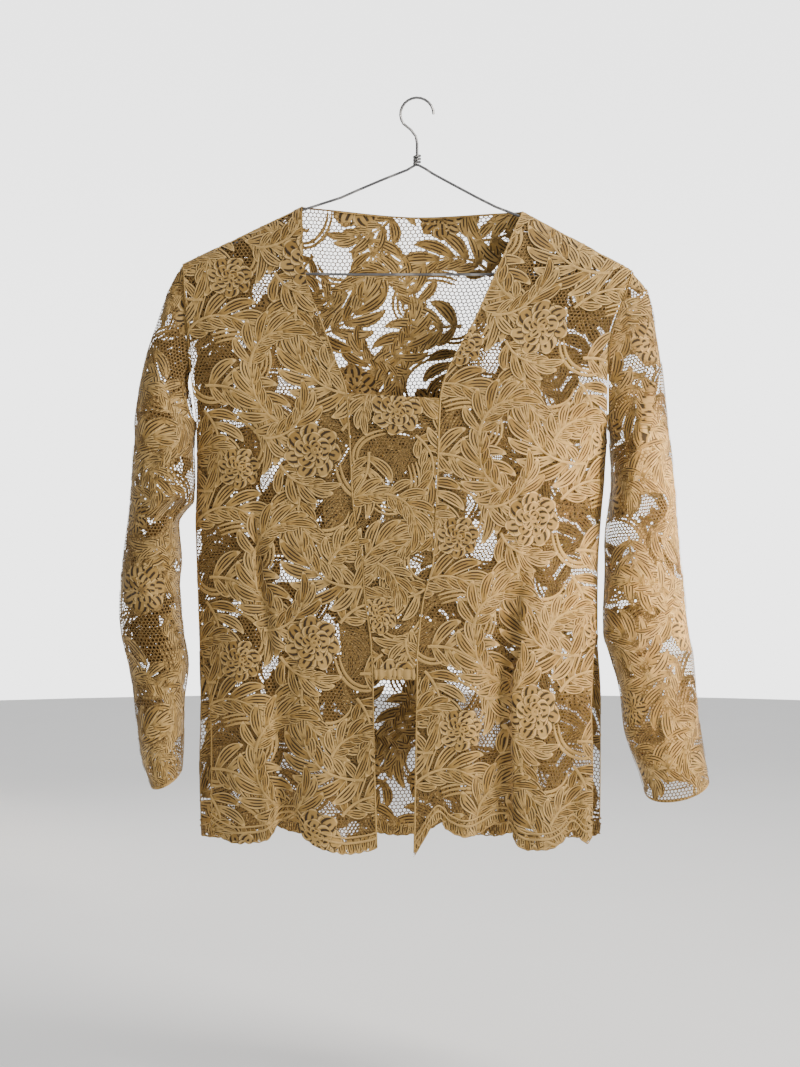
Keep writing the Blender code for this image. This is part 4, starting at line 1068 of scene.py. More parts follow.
def frond(x, y, heading, turn, length, size, lobes, layer):
    """A leaf spray: a curved spine with sweeping lobes on both sides and one at its tip."""
    made = []
    count = int(lobes)
    line, angle = path((x, y), heading, turn, length, count + 1, SPINE_EASE)
    pitch = length / count
    for i in range(count):
        share = (i + 0.5) / count
        grow = size * (FROND_BASE + FROND_SWELL * math.sin(math.pi * (FROND_START + FROND_SPAN * share)))
        place, ahead = (line[i] + line[i + 1]) / 2, (angle[i] + angle[i + 1]) / 2
        for side in (-1, 1):
            wide, reach, bend = INNER_LOBE if side * turn > 0 else OUTER_LOBE
            out = math.degrees(ahead + side * math.radians(LOBE_OUT - LOBE_OUT_DROP * share))
            base = place + LOBE_OFFSET * np.array([-math.sin(ahead), math.cos(ahead)]) * side
            order = layer + LOBE_LAYER * i
            made.append(lobe(base, out, -side * bend, grow * reach, pitch * wide, order))
    tip_heading = math.degrees(angle[-1]) - turn * TIP_BACK
    order = layer + LOBE_LAYER * count
    made.append(lobe(line[-1], tip_heading, turn * TIP_BEND, size, pitch * TIP_WIDTH, order))
    rows, columns = RIBBON_SHAPE
    line, angle = path((x, y), heading, turn, length, rows, SPINE_EASE)
    half = np.linspace(SPINE_WIDTH, SPINE_END_WIDTH, rows) / 2
    made.append(patch(KIND_RIBBON, strip(line, angle, half, columns), layer + SPINE_LAYER, ribbon_lift))
    return made


def petal(start, heading, length, width, curl, order):
    """A petal, broad and turned back at its rim."""
    rows, columns = PETAL_SHAPE
    line, angle = path(start, heading, curl, length, rows)
    share = np.linspace(0, 1, rows)
    full = np.sin(np.pi * (PETAL_START + PETAL_SPAN * share) ** PETAL_POWER) ** PETAL_POWER
    full = full * (1 - share**PETAL_TIP_POWER) ** PETAL_TIP_ROUND
    full[-1] = PETAL_TIP
    points = strip(line, angle, width / 2 * full, columns)
    across = np.linspace(-1, 1, columns)
    back = np.stack([np.cos(angle), np.sin(angle)], axis=1)
    drawn = (across**2 * length * PETAL_BACK)[None, :, None] * share[:, None, None] ** 2
    return patch(KIND_PETAL, points - back[:, None, :] * drawn, order, leaf_lift)


def rose(x, y, radius, turned, layer):
    """A rose: rings of petals, each ring smaller and above the last, round a rolled heart."""
    made = []
    for ring, (count, start, reach, width) in enumerate(zip(*PETAL_RINGS.values())):
        for i in range(int(count)):
            heading = turned + 360 * (i + 0.5 * (ring % 2)) / count + RING_TURN * ring
            a = math.radians(heading)
            base = (x + radius * start * math.cos(a), y + radius * start * math.sin(a))
            order = layer + RING_LAYER * ring + PETAL_LAYER * i
            made.append(petal(base, heading, radius * reach, radius * width, PETAL_CURL, order))
    rows, columns = RIBBON_SHAPE
    heart = (x + radius * HEART_OFF, y)
    line, angle = path(heart, HEART_HEADING, HEART_TURN, radius * HEART_LENGTH, rows, HEART_EASE)
    half = np.full(rows, radius * HEART_HALF)
    made.append(patch(KIND_RIBBON, strip(line, angle, half, columns), layer + HEART_LAYER, ribbon_lift))
    return made


def scroll(x, y, heading, turn, length, lines, layer):
    """A scroll of ribbons that echo each other."""
    made = []
    rows, columns = RIBBON_SHAPE
    for i in range(int(lines)):
        line, angle = path((x, y), heading, turn, length, rows, SCROLL_EASE)
        sideways = np.stack([-np.sin(angle), np.cos(angle)], axis=1)
        moved = line + sideways * ECHO_GAP * i * (-1 if turn > 0 else 1)
        swell = np.sin(np.pi * np.linspace(SCROLL_START, SCROLL_END, rows)) ** SCROLL_POWER
        half = RIBBON_WIDTH / 2 * swell
        made.append(patch(KIND_RIBBON, strip(moved, angle, half, columns), layer, ribbon_lift))
    return made


def draw_repeat():
    """Every patch of one repeat, from the lowest layer to the highest."""
    made = []
    for row in zip(*SCROLLS.values()):
        made += scroll(*row, 0)
    for layer, row in enumerate(zip(*FRONDS.values())):
        made += frond(*row, FROND_LAYER * layer)
    for row in zip(*ROSES.values()):
        made += rose(*row, ROSE_LAYER)
    rng = np.random.default_rng(TINT_SEED)
    for one in made:
        one["tint"] = rng.uniform(-1, 1)
    return made


def inside_outline(points, outline):
    """Which points lie inside a closed outline."""
    inside = np.zeros(len(points), bool)
    for a, b in zip(outline, np.roll(outline, -1, axis=0)):
        crosses = (a[1] > points[:, 1]) != (b[1] > points[:, 1])
        rise = b[1] - a[1] if abs(b[1] - a[1]) > TINY else TINY
        at = (b[0] - a[0]) * (points[:, 1] - a[1]) / rise + a[0]
        inside ^= crosses & (points[:, 0] < at)
    return inside


def repeat_mask(made):
    """Which patch of the repeat lies on top at each cell, or -1 where only net shows."""
    across, down = int(REPEAT_WIDTH / MASK_CELL), int(REPEAT_HEIGHT / MASK_CELL)
    top = np.full((across, down), -1)
    for number, one in enumerate(made):
        flat = one["flat"]
        outline = np.concatenate([flat[:, 0], flat[::-1, -1]])
        low = np.floor(outline.min(axis=0) / MASK_CELL).astype(int)
        high = np.ceil(outline.max(axis=0) / MASK_CELL).astype(int)
        i, j = np.meshgrid(np.arange(low[0], high[0] + 1), np.arange(low[1], high[1] + 1), indexing="ij")
        i, j = i.ravel(), j.ravel()
        centres = np.stack([(i + 0.5) * MASK_CELL, (j + 0.5) * MASK_CELL], axis=1)
        keep = inside_outline(centres, outline)
        cell_i, cell_j = mask_cell(i[keep], j[keep])
        top[cell_i, cell_j] = number
    return top


def mask_cell(i, j):
    """Cells of the mask within one repeat; each repeat to the side is half a height lower."""
    across, down = int(REPEAT_WIDTH / MASK_CELL), int(REPEAT_HEIGHT / MASK_CELL)
    steps = np.floor_divide(i, across)
    return i - steps * across, np.mod(j - steps * (down // 2), down)


def top_patch(mask, drawn):
    """The topmost patch at places drawn in the repeat's own plane."""
    i = np.floor(drawn[..., 0] / MASK_CELL).astype(int)
    j = np.floor(drawn[..., 1] / MASK_CELL).astype(int)
    i, j = mask_cell(i, j)
    return mask[i, j]


REPEAT = draw_repeat()
MASK = repeat_mask(REPEAT)


def shown_faces(number, one):
    """The faces of a patch that aren't wholly under later patches."""
    flat = one["flat"]
    corners = np.stack([flat[:-1, :-1], flat[1:, :-1], flat[1:, 1:], flat[:-1, 1:]])
    middle = corners.mean(axis=0)
    shown = top_patch(MASK, middle) == number
    for corner in corners:
        for share in SHOWN_SHARES:
            shown |= top_patch(MASK, middle + (corner - middle) * share) == number
    return shown


SHOWN = [shown_faces(number, one) for number, one in enumerate(REPEAT)]


class Cloth:
    """Collects the flat patches of one sheet of lace before it is laid on its ground."""

    def __init__(self):
        self.flat, self.lift, self.marks, self.faces, self.count = [], [], [], [], 0

    def add(self, flat, lift, marks, shown=None):
        """Adds grids of points: flat is (grids, rows, columns, 2), marks are four arrays."""
        grids, rows, columns = flat.shape[:3]
        index = self.count + np.arange(grids * rows * columns).reshape(grids, rows, columns)
        near, far = index[:, :-1], index[:, 1:]
        faces = np.stack([near[:, :, :-1], far[:, :, :-1], far[:, :, 1:], near[:, :, 1:]], axis=-1)
        if shown is not None:
            faces = faces[:, shown]
        self.faces.append(faces.reshape(-1, 4))
        self.flat.append(flat.reshape(-1, 2))
        self.lift.append(np.broadcast_to(lift, flat.shape[:3]).reshape(-1))
        self.marks.append(np.stack([np.broadcast_to(m, flat.shape[:3]).reshape(-1) for m in marks], axis=1))
        self.count += grids * rows * columns

    def close(self, name, ground, material):
        """Lays the patches on their ground and makes the mesh."""
        drawn, lift = np.concatenate(self.flat), np.concatenate(self.lift)
        marks, faces = np.concatenate(self.marks), np.concatenate(self.faces)
        flat = ground.trim(drawn)
        a, b, c, d = (flat[faces[:, k]] for k in range(4))
        area = np.abs(cross(c - a, d - b)) / 2
        faces = faces[area > SMALLEST_FACE]
        used, faces = np.unique(faces, return_inverse=True)
        faces = faces.reshape(-1, 4)
        points = ground.lay(flat[used], lift[used])
        return build(name, points * MM, faces, marks[used], flat[used], material)


def cross(a, b):
    return a[:, 0] * b[:, 1] - a[:, 1] * b[:, 0]


MARK_NAMES = ("along", "across", "tint", "kind")


def build(name, points, faces, marks, flat, material):
    """A mesh object from arrays, with its marks as point attributes."""
    mesh = bpy.data.meshes.new(name)
    mesh.vertices.add(len(points))
    mesh.vertices.foreach_set("co", points.astype(np.float32).ravel())
    mesh.loops.add(faces.size)
    mesh.loops.foreach_set("vertex_index", faces.astype(np.int32).ravel())
    mesh.polygons.add(len(faces))
    mesh.polygons.foreach_set("loop_start", np.arange(0, faces.size, 4, dtype=np.int32))
    mesh.update(calc_edges=True)
    for k, mark in enumerate(MARK_NAMES):
        attribute = mesh.attributes.new(mark, "FLOAT", "POINT")
        attribute.data.foreach_set("value", marks[:, k].astype(np.float32))
    place = mesh.attributes.new("cloth", "FLOAT_VECTOR", "POINT")
    cloth = np.concatenate([flat * MM, np.zeros((len(flat), 1))], axis=1)
    place.data.foreach_set("vector", cloth.astype(np.float32).ravel())
    mesh.shade_smooth()
    mesh.materials.append(material)
    piece = bpy.data.objects.new(name, mesh)
    bpy.context.scene.collection.objects.link(piece)
    return piece


def to_drawn(flat, plan):
    """Places in the repeat's plane of flat cloth places."""
    moved = flat - np.array(plan["shift"])
    if plan["lengthwise"]:
        moved = np.stack([moved[..., 1], -moved[..., 0]], axis=-1)
    return moved / plan["scale"]


def to_flat(drawn, plan):
    """Flat cloth places of places in the repeat's plane."""
    moved = drawn * plan["scale"]
    if plan["lengthwise"]:
        moved = np.stack([-moved[..., 1], moved[..., 0]], axis=-1)
    return moved + np.array(plan["shift"])


def add_net(cloth, ground, plan, pitch, strand):
    """The net: a ring of six thin strands round each opening that no motif covers."""
    low, high, top, bottom = ground.bounds()
    height = pitch * math.sqrt(3) / 2
    columns, rows = int((high - low) / pitch) + 2, int((bottom - top) / height) + 2
    i, j = np.meshgrid(np.arange(columns), np.arange(rows), indexing="ij")
    centre = np.stack([low + (i + 0.5 * (j % 2)) * pitch, top + j * height], axis=-1).reshape(-1, 2)
    corners = np.radians(NET_FIRST_CORNER + NET_CORNER * np.arange(NET_SIDES + 1))
    ring = np.stack([np.cos(corners), np.sin(corners)], axis=1) * pitch / math.sqrt(3)
    covered = np.ones(len(centre), bool)
    for offset in np.concatenate([ring[:NET_SIDES] * NET_REACH, [[0.0, 0.0]]]):
        covered &= top_patch(MASK, to_drawn(centre + offset, plan)) >= 0
    centre = centre[~covered]
    miss = np.linalg.norm(ground.trim(centre) - centre, axis=1)
    centre = centre[miss < NET_MISS]
    hole = 1 - strand / pitch
    flat = centre[:, None, None, :] + np.stack([ring, ring * hole], axis=1)[None]
    waves = [np.sin(flat[..., 1] / NET_WAVE_DOWN), np.sin(flat[..., 0] / NET_WAVE_ACROSS + 1)]
    wobble = np.stack(waves, axis=-1) * pitch * NET_WAVE
    lift = np.array([NET_LIFT, NET_LIFT - NET_SLOPE])[None, None, :]
    tint = np.random.default_rng(len(centre)).uniform(-1, 1, (len(centre), 1, 1))
    cloth.add(flat + wobble, lift, (NET_ALONG, np.array([-1.0, 1.0]), tint, KIND_NET))


def add_motifs(cloth, ground, plan):
    """The repeat's patches, wherever a copy of the repeat reaches the cloth."""
    low, high, top, bottom = ground.bounds()
    box = to_drawn(np.array([[low, top], [high, top], [low, bottom], [high, bottom]]), plan)
    first_i = int(math.floor(box[:, 0].min() / REPEAT_WIDTH)) - 1
    last_i = int(math.ceil(box[:, 0].max() / REPEAT_WIDTH)) + 1
    copies = []
    for i in range(first_i, last_i + 1):
        drop = i * REPEAT_HEIGHT / 2
        first_j = int(math.floor((box[:, 1].min() - drop) / REPEAT_HEIGHT)) - 1
        last_j = int(math.ceil((box[:, 1].max() - drop) / REPEAT_HEIGHT)) + 1
        copies += [(i * REPEAT_WIDTH, drop + j * REPEAT_HEIGHT) for j in range(first_j, last_j + 1)]
    copies = np.array(copies)
    for one, shown in zip(REPEAT, SHOWN):
        if not shown.any():
            continue
        middle = to_flat(one["flat"].mean(axis=(0, 1)) + copies, plan)
        reach = np.linalg.norm(one["flat"] - one["flat"].mean(axis=(0, 1)), axis=-1).max() * plan["scale"]
        miss = np.linalg.norm(ground.trim(middle) - middle, axis=1)
        near = copies[miss < reach]
        if len(near) == 0:
            continue
        flat = to_flat(one["flat"][None] + near[:, None, None, :], plan)
        marks = (one["along"], one["across"], one["tint"], one["kind"])
        cloth.add(flat, one["lift"] * np.ones((len(near), 1, 1)), marks, shown)


def add_band(cloth, rows, lift, tint, kind=KIND_BAND, gathers=0.0):
    """A raised cord or a turned hem along rows of flat points, with uneven gathers across it whose crests are
    painted paler as light.
    """
    along = np.linspace(0, 1, len(rows))[:, None]
    across = np.linspace(-1, 1, rows.shape[1])[None, :]
    run = np.linalg.norm(rows[:, :1] - rows[0, 0], axis=-1)
    drawn = np.sin(run * GATHER_RATE + GATHER_DRIFT * np.sin(run * GATHER_DRIFT_RATE)) * gathers
    raised = lift[0] + (lift[1] - lift[0]) * (1 - across**2) + drawn * (1 - 0.5 * across)
    # Painted light: the tint rises with the gathers' height, so their crests are painted paler than their
    # hollows
    tints = (tint + drawn) * np.ones(rows.shape[:2])
    cloth.add(rows[None], (raised * np.ones(rows.shape[:2]))[None], (along, across, tints[None], kind))


def add_hem_leaves(cloth, ground, length, pitch):
    """A fringe of small lobes whose rounded tips make the hem's scallops."""
    edge = ground.rim("hem", length, 1.0)
    line = edge[:, 0]
    run = np.concatenate([[0], np.cumsum(np.linalg.norm(np.diff(line, axis=0), axis=1))])
    count = int(run[-1] / pitch)
    for i in range(count):
        at = (i + 0.5) * run[-1] / count
        tip = np.array([np.interp(at, run, line[:, 0]), np.interp(at, run, line[:, 1])])
        lean = HEM_LEAN * math.sin(i * HEM_LEAN_RATE)
        wide = run[-1] / count * HEM_WIDTH
        made = lobe(tip - (0, length), 90 + lean, -lean, length * HEM_LENGTH, wide, HEM_LAYER + (i % 2))
        marks = (made["along"], made["across"], math.sin(i * HEM_TINT_RATE), KIND_LOBE)
        cloth.add(made["flat"][None], made["lift"][None], marks)


def length_setting(name, description, default, least=0.0):
    return bpy.props.FloatProperty(
        name=name, description=description, default=default, min=least, unit="LENGTH"
    )


def colour_setting(name, description, default):
    return bpy.props.FloatVectorProperty(
        name=name, description=description, default=default, min=0, max=1, subtype="COLOR"
    )


def power_setting(name, description, default):
    return bpy.props.FloatProperty(name=name, description=description, default=default, unit="POWER")


def glow_setting(name, description, default):
    return bpy.props.FloatProperty(name=name, description=description, default=default, min=0.0)


class KebayaLace(bpy.types.PropertyGroup):
    """Sizes and colours of the lace."""

    net_pitch: length_setting("Net pitch", "Distance between the net's openings", 0.0036, 0.003)
    back_net_pitch: length_setting("Back net pitch", "The same on the back", 0.0042, 0.003)
    strand: length_setting("Strand", "Width of a strand between two openings", 0.001)
    cord: length_setting("Edge cord", "Width of the cord along edges and seams", 0.0017)
    hem_leaf: length_setting("Hem leaf", "Length of the lobes along the hem", 0.015)
    cuff_turn: length_setting("Cuff turn", "Depth of the sleeves' turned cuffs", 0.012)
    hem_band: length_setting("Panel hem", "Depth of the centre panel's turned hem", 0.011)
    yarn_colour: colour_setting("Yarn", "Colour of the motifs", (0.51, 0.305, 0.082))
    shade_colour: colour_setting("Shade", "Darker areas of the yarn", (0.28, 0.16, 0.036))
    cord_colour: colour_setting("Cord", "Colour of the raised cords", (0.75, 0.5, 0.19))
    # Painted shade: near black, laid in the slits, along the outlines and at the leaves' bases, where shade
    # falls between the cords
    painted_shade_colour: colour_setting("Slits", "Colour deep in the slits", (0.022, 0.011, 0.003))
    # Partly painted shade: the net's own yarn, laid darker than the motifs' yarn as the shade in the openings
    shaded_net_colour: colour_setting("Net", "Colour of the net's yarn", (0.21, 0.122, 0.034))


class KebayaHanger(bpy.types.PropertyGroup):
    """The hanger's finish."""

    wire_colour: colour_setting("Wire", "Colour of the wire", (0.17, 0.17, 0.175))
    worn_colour: colour_setting("Worn wire", "Bare metal where it rubs", (0.42, 0.41, 0.40))


class KebayaStage(bpy.types.PropertyGroup):
    """The floor, the light and the camera."""

    floor_drop: length_setting("Floor", "Distance of the floor below the hook", 1.02)
    floor_colour: colour_setting("Floor colour", "Pale studio floor", (0.94, 0.94, 0.94))
    camera_away: length_setting("Camera distance", "From the blouse's middle plane", 1.7)
    key_power: power_setting("Key light", "Power of the large soft lamp at the viewer's right", 46.0)
    side_power: power_setting("Side light", "Power of the warm lamp on the left sleeve", 1.7)
    fill_power: power_setting("Fill light", "Power of the soft lamp at the left", 1.2)
    rim_power: power_setting("Back light", "Power of the soft lamp behind", 14.0)
    floor_power: power_setting("Floor light", "Power of the wide lamp over the floor", 34.0)
    even_glow: glow_setting("Even glow", "Strength of the studio's even light", 0.04)
    wall_glow: glow_setting("Wall glow", "Strength of the pale studio wall at eye level", 0.4)
    ceiling_glow: glow_setting("Ceiling glow", "Strength of the wide soft light overhead", 1.3)
    back_glow: glow_setting("Back glow", "Strength of the bright wall behind the blouse", 3.0)


# The photograph's frame: one pixel is one mm at the blouse's plane, and HOOK_PIXEL is the hook's inside top
PHOTO_WIDTH, PHOTO_HEIGHT = 800.0, 1067.0
HOOK_PIXEL_X, HOOK_PIXEL_Y = 417.0, 99.0
SENSOR_HEIGHT = 36.0


class Nodes:
    """Short ways to add and join shader nodes."""

    def __init__(self, name):
        self.material = bpy.data.materials.new(name)
        self.material.use_nodes = True
        self.tree = self.material.node_tree
        self.shader = self.tree.nodes["Principled BSDF"]

    def add(self, kind, **values):
        node = self.tree.nodes.new(kind)
        for key, value in values.items():
            setattr(node, key, value)
        return node

    def put(self, target, value):
        """Joins a socket to a value, which is another socket, a number or a colour."""
        if isinstance(value, bpy.types.NodeSocket):
            self.tree.links.new(value, target)
        elif hasattr(value, "__len__"):
            target.default_value = (*value, 1.0)
        else:
            target.default_value = value

    def read(self, name):
        return self.add("ShaderNodeAttribute", attribute_name=name).outputs["Fac"]

    def place(self):
        return self.add("ShaderNodeAttribute", attribute_name="cloth").outputs["Vector"]

    def sum(self, operation, *values):
        node = self.add("ShaderNodeMath", operation=operation)
        for socket, value in zip(node.inputs, values):
            self.put(socket, value)
        return node.outputs[0]

    def step(self, value, low, high, start=0.0, end=1.0):
        """Start below low and end above high, with a smooth step between."""
        node = self.add("ShaderNodeMapRange", interpolation_type="SMOOTHSTEP")
        names = ("Value", "From Min", "From Max", "To Min", "To Max")
        for name, one in zip(names, (value, low, high, start, end)):
            self.put(node.inputs[name], one)
        return node.outputs[0]

    def mix(self, share, first, second):
        node = self.add("ShaderNodeMix", data_type="RGBA")
        self.put(node.inputs["Factor"], share)
        self.put(node.inputs[6], first)
        self.put(node.inputs[7], second)
        return node.outputs[2]

    def noise(self, vector, scale, detail=2.0):
        node = self.add("ShaderNodeTexNoise")
        self.put(node.inputs["Vector"], vector)
        node.inputs["Scale"].default_value = scale
        node.inputs["Detail"].default_value = detail
        return node.outputs["Fac"]

    def bump(self, height, strength, distance):
        """Raises the surface's shading by a height."""
        node = self.add("ShaderNodeBump")
        node.inputs["Strength"].default_value = strength
        node.inputs["Distance"].default_value = distance
        self.put(node.inputs["Height"], height)
        self.put(self.shader.inputs["Normal"], node.outputs["Normal"])

    def finish(self, **values):
        """Sets the shader's plain inputs, named with underscores for spaces."""
        for name, value in values.items():
            self.shader.inputs[name.replace("_", " ")].default_value = value


# Slits of a leaf, painted near black as the shade down in them: how far from its middle each lies, and where
# along the leaf it starts and ends
SLITS = table("across start end", (0.0, 0.12, 0.7), (0.5, 0.24, 0.86))
SLIT_SIDES = (0.07, 0.14)
SLIT_FADE_IN, SLIT_FADE_OUT = 0.08, 0.12

# Between which values of a patch's kind the material changes
NET_TO_LEAF = (0.3, 0.5)
LEAF_STARTS = (0.4, 0.6)
LEAF_ENDS = (2.4, 2.6)
RIBBON_STARTS = (2.5, 2.7)
BAND_STARTS = (3.4, 3.6)

# Where a leaf's paler rim, its outline of painted shadow and the painted shade at its base lie, across it and
# along it
RIM_ACROSS, RIM_ALONG = (0.7, 0.78), (0.86, 0.91)
OUTLINE_ACROSS, OUTLINE_ALONG = (0.86, 0.95), (0.96, 0.99)
FOOT_ALONG = (0.0, 0.16)
RIBBON_CORD, BAND_CORD, RIBBON_OUTLINE_SHADE = 0.45, 0.5, 0.7

# Scales and reach of the yarn's uneven colour, and how strongly the paler cords and the painted shade at
# bases, slits and outlines are laid on
BROAD_SCALE, BROAD_SHADE = 9.0, (0.35, 0.7)
FINE_SCALE = 260.0
YARN_DETAIL = 3.0
TINT_PALE, FINE_PALE = 0.22, 0.25
PALE_REACH, PALEST = (-0.1, 0.4), 0.42
FOOT_SHADE, CORD_TONE, SLIT_SHADE, OUTLINE_SHADE = 0.55, 0.8, 0.94, 0.88

# The yarn's finish and relief
YARN_REACH, YARN_ROUGH = (0.3, 0.7), (0.62, 0.84)
YARN_SHEEN, YARN_SHEEN_ROUGH, YARN_SPECULAR = 0.18, 0.45, 0.35
RIB_SCALE, RIB_WANDER = 330.0, 2.5
RIB_HEIGHT, FINE_HEIGHT, CORD_HEIGHT, SLIT_HEIGHT = 0.35, 0.4, 0.5, -1.2
YARN_BUMP, YARN_BUMP_DEPTH = 0.6, 0.0004

# The wire's and the floor's finish
WORN_SCALE, WORN_DETAIL, WORN_REACH = 55.0, 4.0, (0.45, 0.65)
GRAIN_SCALE, GRAIN_REACH, WIRE_ROUGH = 900.0, (0.3, 0.7), (0.28, 0.5)
WIRE_BUMP, WIRE_BUMP_DEPTH = 0.25, 0.0001
FLOOR_SCALE, FLOOR_SHADE, FLOOR_ROUGH, FLOOR_SPECULAR = 3.0, 0.96, 0.9, 0.2


def lace_material(name, lace):
    """Matt corded yarn: ribbed leaves with slits, outlines and bases painted near black as shade, paler cords
    at their edges and a fine net painted darker as shade in its openings.
    """
    n = Nodes(name)
    along, across, tint, kind = n.read("along"), n.read("across"), n.read("tint"), n.read("kind")
    place = n.place()
    away = n.sum("ABSOLUTE", across)
    leafy = n.sum("MULTIPLY", n.step(kind, *LEAF_STARTS), n.step(kind, *LEAF_ENDS, 1.0, 0.0))

    # Slits run along the leaf, and the outer ones start and end further on
    slit = 0.0
    for row in zip(*SLITS.values()):
        one = dict(zip(SLITS, row))
        beside = n.sum("ABSOLUTE", n.sum("SUBTRACT", away, one["across"]))
        line = n.step(beside, *SLIT_SIDES, 1.0, 0.0)
        line = n.sum("MULTIPLY", line, n.step(along, one["start"], one["start"] + SLIT_FADE_IN))
        line = n.sum("MULTIPLY", line, n.step(along, one["end"] - SLIT_FADE_OUT, one["end"], 1.0, 0.0))
        slit = n.sum("MAXIMUM", slit, line)
    slit = n.sum("MULTIPLY", slit, leafy)

    # Cords: inside the rim of each leaf, and all along the ribbons
    rim = n.sum("MAXIMUM", n.step(away, *RIM_ACROSS), n.step(along, *RIM_ALONG))
    ribbon = n.step(kind, *RIBBON_STARTS, 0.0, RIBBON_CORD)
    ribbon = n.sum("MULTIPLY", ribbon, n.step(kind, *BAND_STARTS, 1.0, BAND_CORD))
    cord = n.sum("MAXIMUM", n.sum("MULTIPLY", rim, leafy), ribbon)
    # Painted shadow: a dark outline round each leaf's edge and tip and round the ribbons, though not the bands
    tip = n.sum("MULTIPLY", n.step(along, *OUTLINE_ALONG), leafy)
    outline = n.sum("MAXIMUM", n.step(away, *OUTLINE_ACROSS), tip)
    edged = n.sum("MAXIMUM", leafy, n.step(kind, *LEAF_ENDS, 0.0, RIBBON_OUTLINE_SHADE))
    outline = n.sum("MULTIPLY", outline, edged)
    outline = n.sum("MULTIPLY", outline, n.step(kind, *BAND_STARTS, 1.0, 0.0))
    # Painted shade at the base of each leaf and petal, where it runs in under the parts above it
    foot_shade = n.sum("MULTIPLY", n.step(along, *FOOT_ALONG, 1.0, 0.0), leafy)

    broad = n.noise(place, BROAD_SCALE, YARN_DETAIL)
    fine = n.noise(place, FINE_SCALE, YARN_DETAIL)
    colour = n.mix(n.step(broad, *BROAD_SHADE), lace.shade_colour, lace.yarn_colour)
    pale = n.sum("MULTIPLY_ADD", tint, TINT_PALE, n.sum("MULTIPLY", fine, FINE_PALE))
    colour = n.mix(n.step(pale, *PALE_REACH, 0.0, PALEST), colour, lace.cord_colour)
    # The bases, slits and outlines are painted near black as shade; the cords are paler
    for share, tone, paint in (
        (foot_shade, FOOT_SHADE, lace.painted_shade_colour),
        (cord, CORD_TONE, lace.cord_colour),
        (slit, SLIT_SHADE, lace.painted_shade_colour),
        (outline, OUTLINE_SHADE, lace.painted_shade_colour),
    ):
        colour = n.mix(n.sum("MULTIPLY", share, tone), colour, paint)
    # The net's yarn, painted darker than the motifs' yarn as the shade in the openings between them
    net = n.step(kind, *NET_TO_LEAF, 1.0, 0.0)
    colour = n.mix(net, colour, lace.shaded_net_colour)
    n.put(n.shader.inputs["Base Color"], colour)
    n.put(n.shader.inputs["Roughness"], n.step(fine, *YARN_REACH, *YARN_ROUGH))
    n.finish(Sheen_Weight=YARN_SHEEN, Sheen_Roughness=YARN_SHEEN_ROUGH, Specular_IOR_Level=YARN_SPECULAR)

    # Yarn ribs run across each leaf; the slits are sunk
    ribs = n.add("ShaderNodeTexWave", wave_type="BANDS", bands_direction="X", wave_profile="SIN")
    n.put(ribs.inputs["Vector"], place)
    ribs.inputs["Scale"].default_value = RIB_SCALE
    ribs.inputs["Distortion"].default_value = RIB_WANDER
    height = n.sum("MULTIPLY_ADD", ribs.outputs["Fac"], RIB_HEIGHT, n.sum("MULTIPLY", fine, FINE_HEIGHT))
    height = n.sum("MULTIPLY_ADD", cord, CORD_HEIGHT, height)
    height = n.sum("MULTIPLY_ADD", n.sum("MAXIMUM", slit, outline), SLIT_HEIGHT, height)
    n.bump(height, YARN_BUMP, YARN_BUMP_DEPTH)
    return n.material


def wire_material(name, hanger):
    """Grey galvanised wire, brighter where it has rubbed."""
    n = Nodes(name)
    place = n.add("ShaderNodeTexCoord").outputs["Object"]
    worn = n.step(n.noise(place, WORN_SCALE, WORN_DETAIL), *WORN_REACH)
    fine = n.noise(place, GRAIN_SCALE)
    n.put(n.shader.inputs["Base Color"], n.mix(worn, hanger.wire_colour, hanger.worn_colour))
    n.put(n.shader.inputs["Roughness"], n.step(fine, *GRAIN_REACH, *WIRE_ROUGH))
    n.finish(Metallic=1.0)
    n.bump(fine, WIRE_BUMP, WIRE_BUMP_DEPTH)
    return n.material


def floor_material(name, stage):
    """A matt painted studio floor."""
    n = Nodes(name)
    place = n.add("ShaderNodeTexCoord").outputs["Object"]
    cloud = n.noise(place, FLOOR_SCALE)
    pale = tuple(value * FLOOR_SHADE for value in stage.floor_colour)
    n.put(n.shader.inputs["Base Color"], n.mix(cloud, stage.floor_colour, pale))
    n.finish(Roughness=FLOOR_ROUGH, Specular_IOR_Level=FLOOR_SPECULAR)
    return n.material


def shared_lace():
    """The lace's material, made once."""
    found = bpy.data.materials.get("corded_lace")
    return found or lace_material("corded_lace", bpy.context.scene.kebaya_lace)


# Each sheet's flat cut in metres, its area, whether the repeat runs along it, and the repeat's shift and scale
CUT_NAMES = ("flat", "area", "lengthwise", "shift", "scale")
CUT_ROWS = {
    "front_right": ((0.232, 0.60), 0.099, False, (30, 18), 1.0),
    "front_left": ((0.262, 0.60), 0.102, False, (-52, 86), 1.0),
    "back": ((0.50, 0.62), 0.262, False, (12, 50), 1.0),
    "sleeve_right": ((0.222, 0.526), 0.094, True, (8, 30), 0.95),
    "sleeve_left": ((0.251, 0.531), 0.103, True, (-26, 74), 0.95),
    "facing_right": ((0.034, 0.645), 0.020, True, (60, 0), 0.9),
    "facing_left": ((0.034, 0.655), 0.020, True, (22, 40), 0.9),
    "panel": ((0.10, 0.29), 0.0197, True, (40, 12), 0.9),
    "panel_lining": ((0.10, 0.29), 0.0197, True, (75, 60), 0.9),
}
CUTS = {piece: dict(zip(CUT_NAMES, row)) for piece, row in CUT_ROWS.items()}


def begin_lace(piece, ground):
    """The net and the motifs of one sheet."""
    lace = bpy.context.scene.kebaya_lace
    pitch = lace.back_net_pitch if piece == "back" else lace.net_pitch
    cloth = Cloth()
    add_net(cloth, ground, CUTS[piece], pitch / MM, lace.strand / MM)
    add_motifs(cloth, ground, CUTS[piece])
    return cloth


def hang(piece, nodes=()):
    """Makes a sheet ride with the blouse and hides the solids it replaces."""
    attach(piece, "root")
    if nodes:
        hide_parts(*nodes)


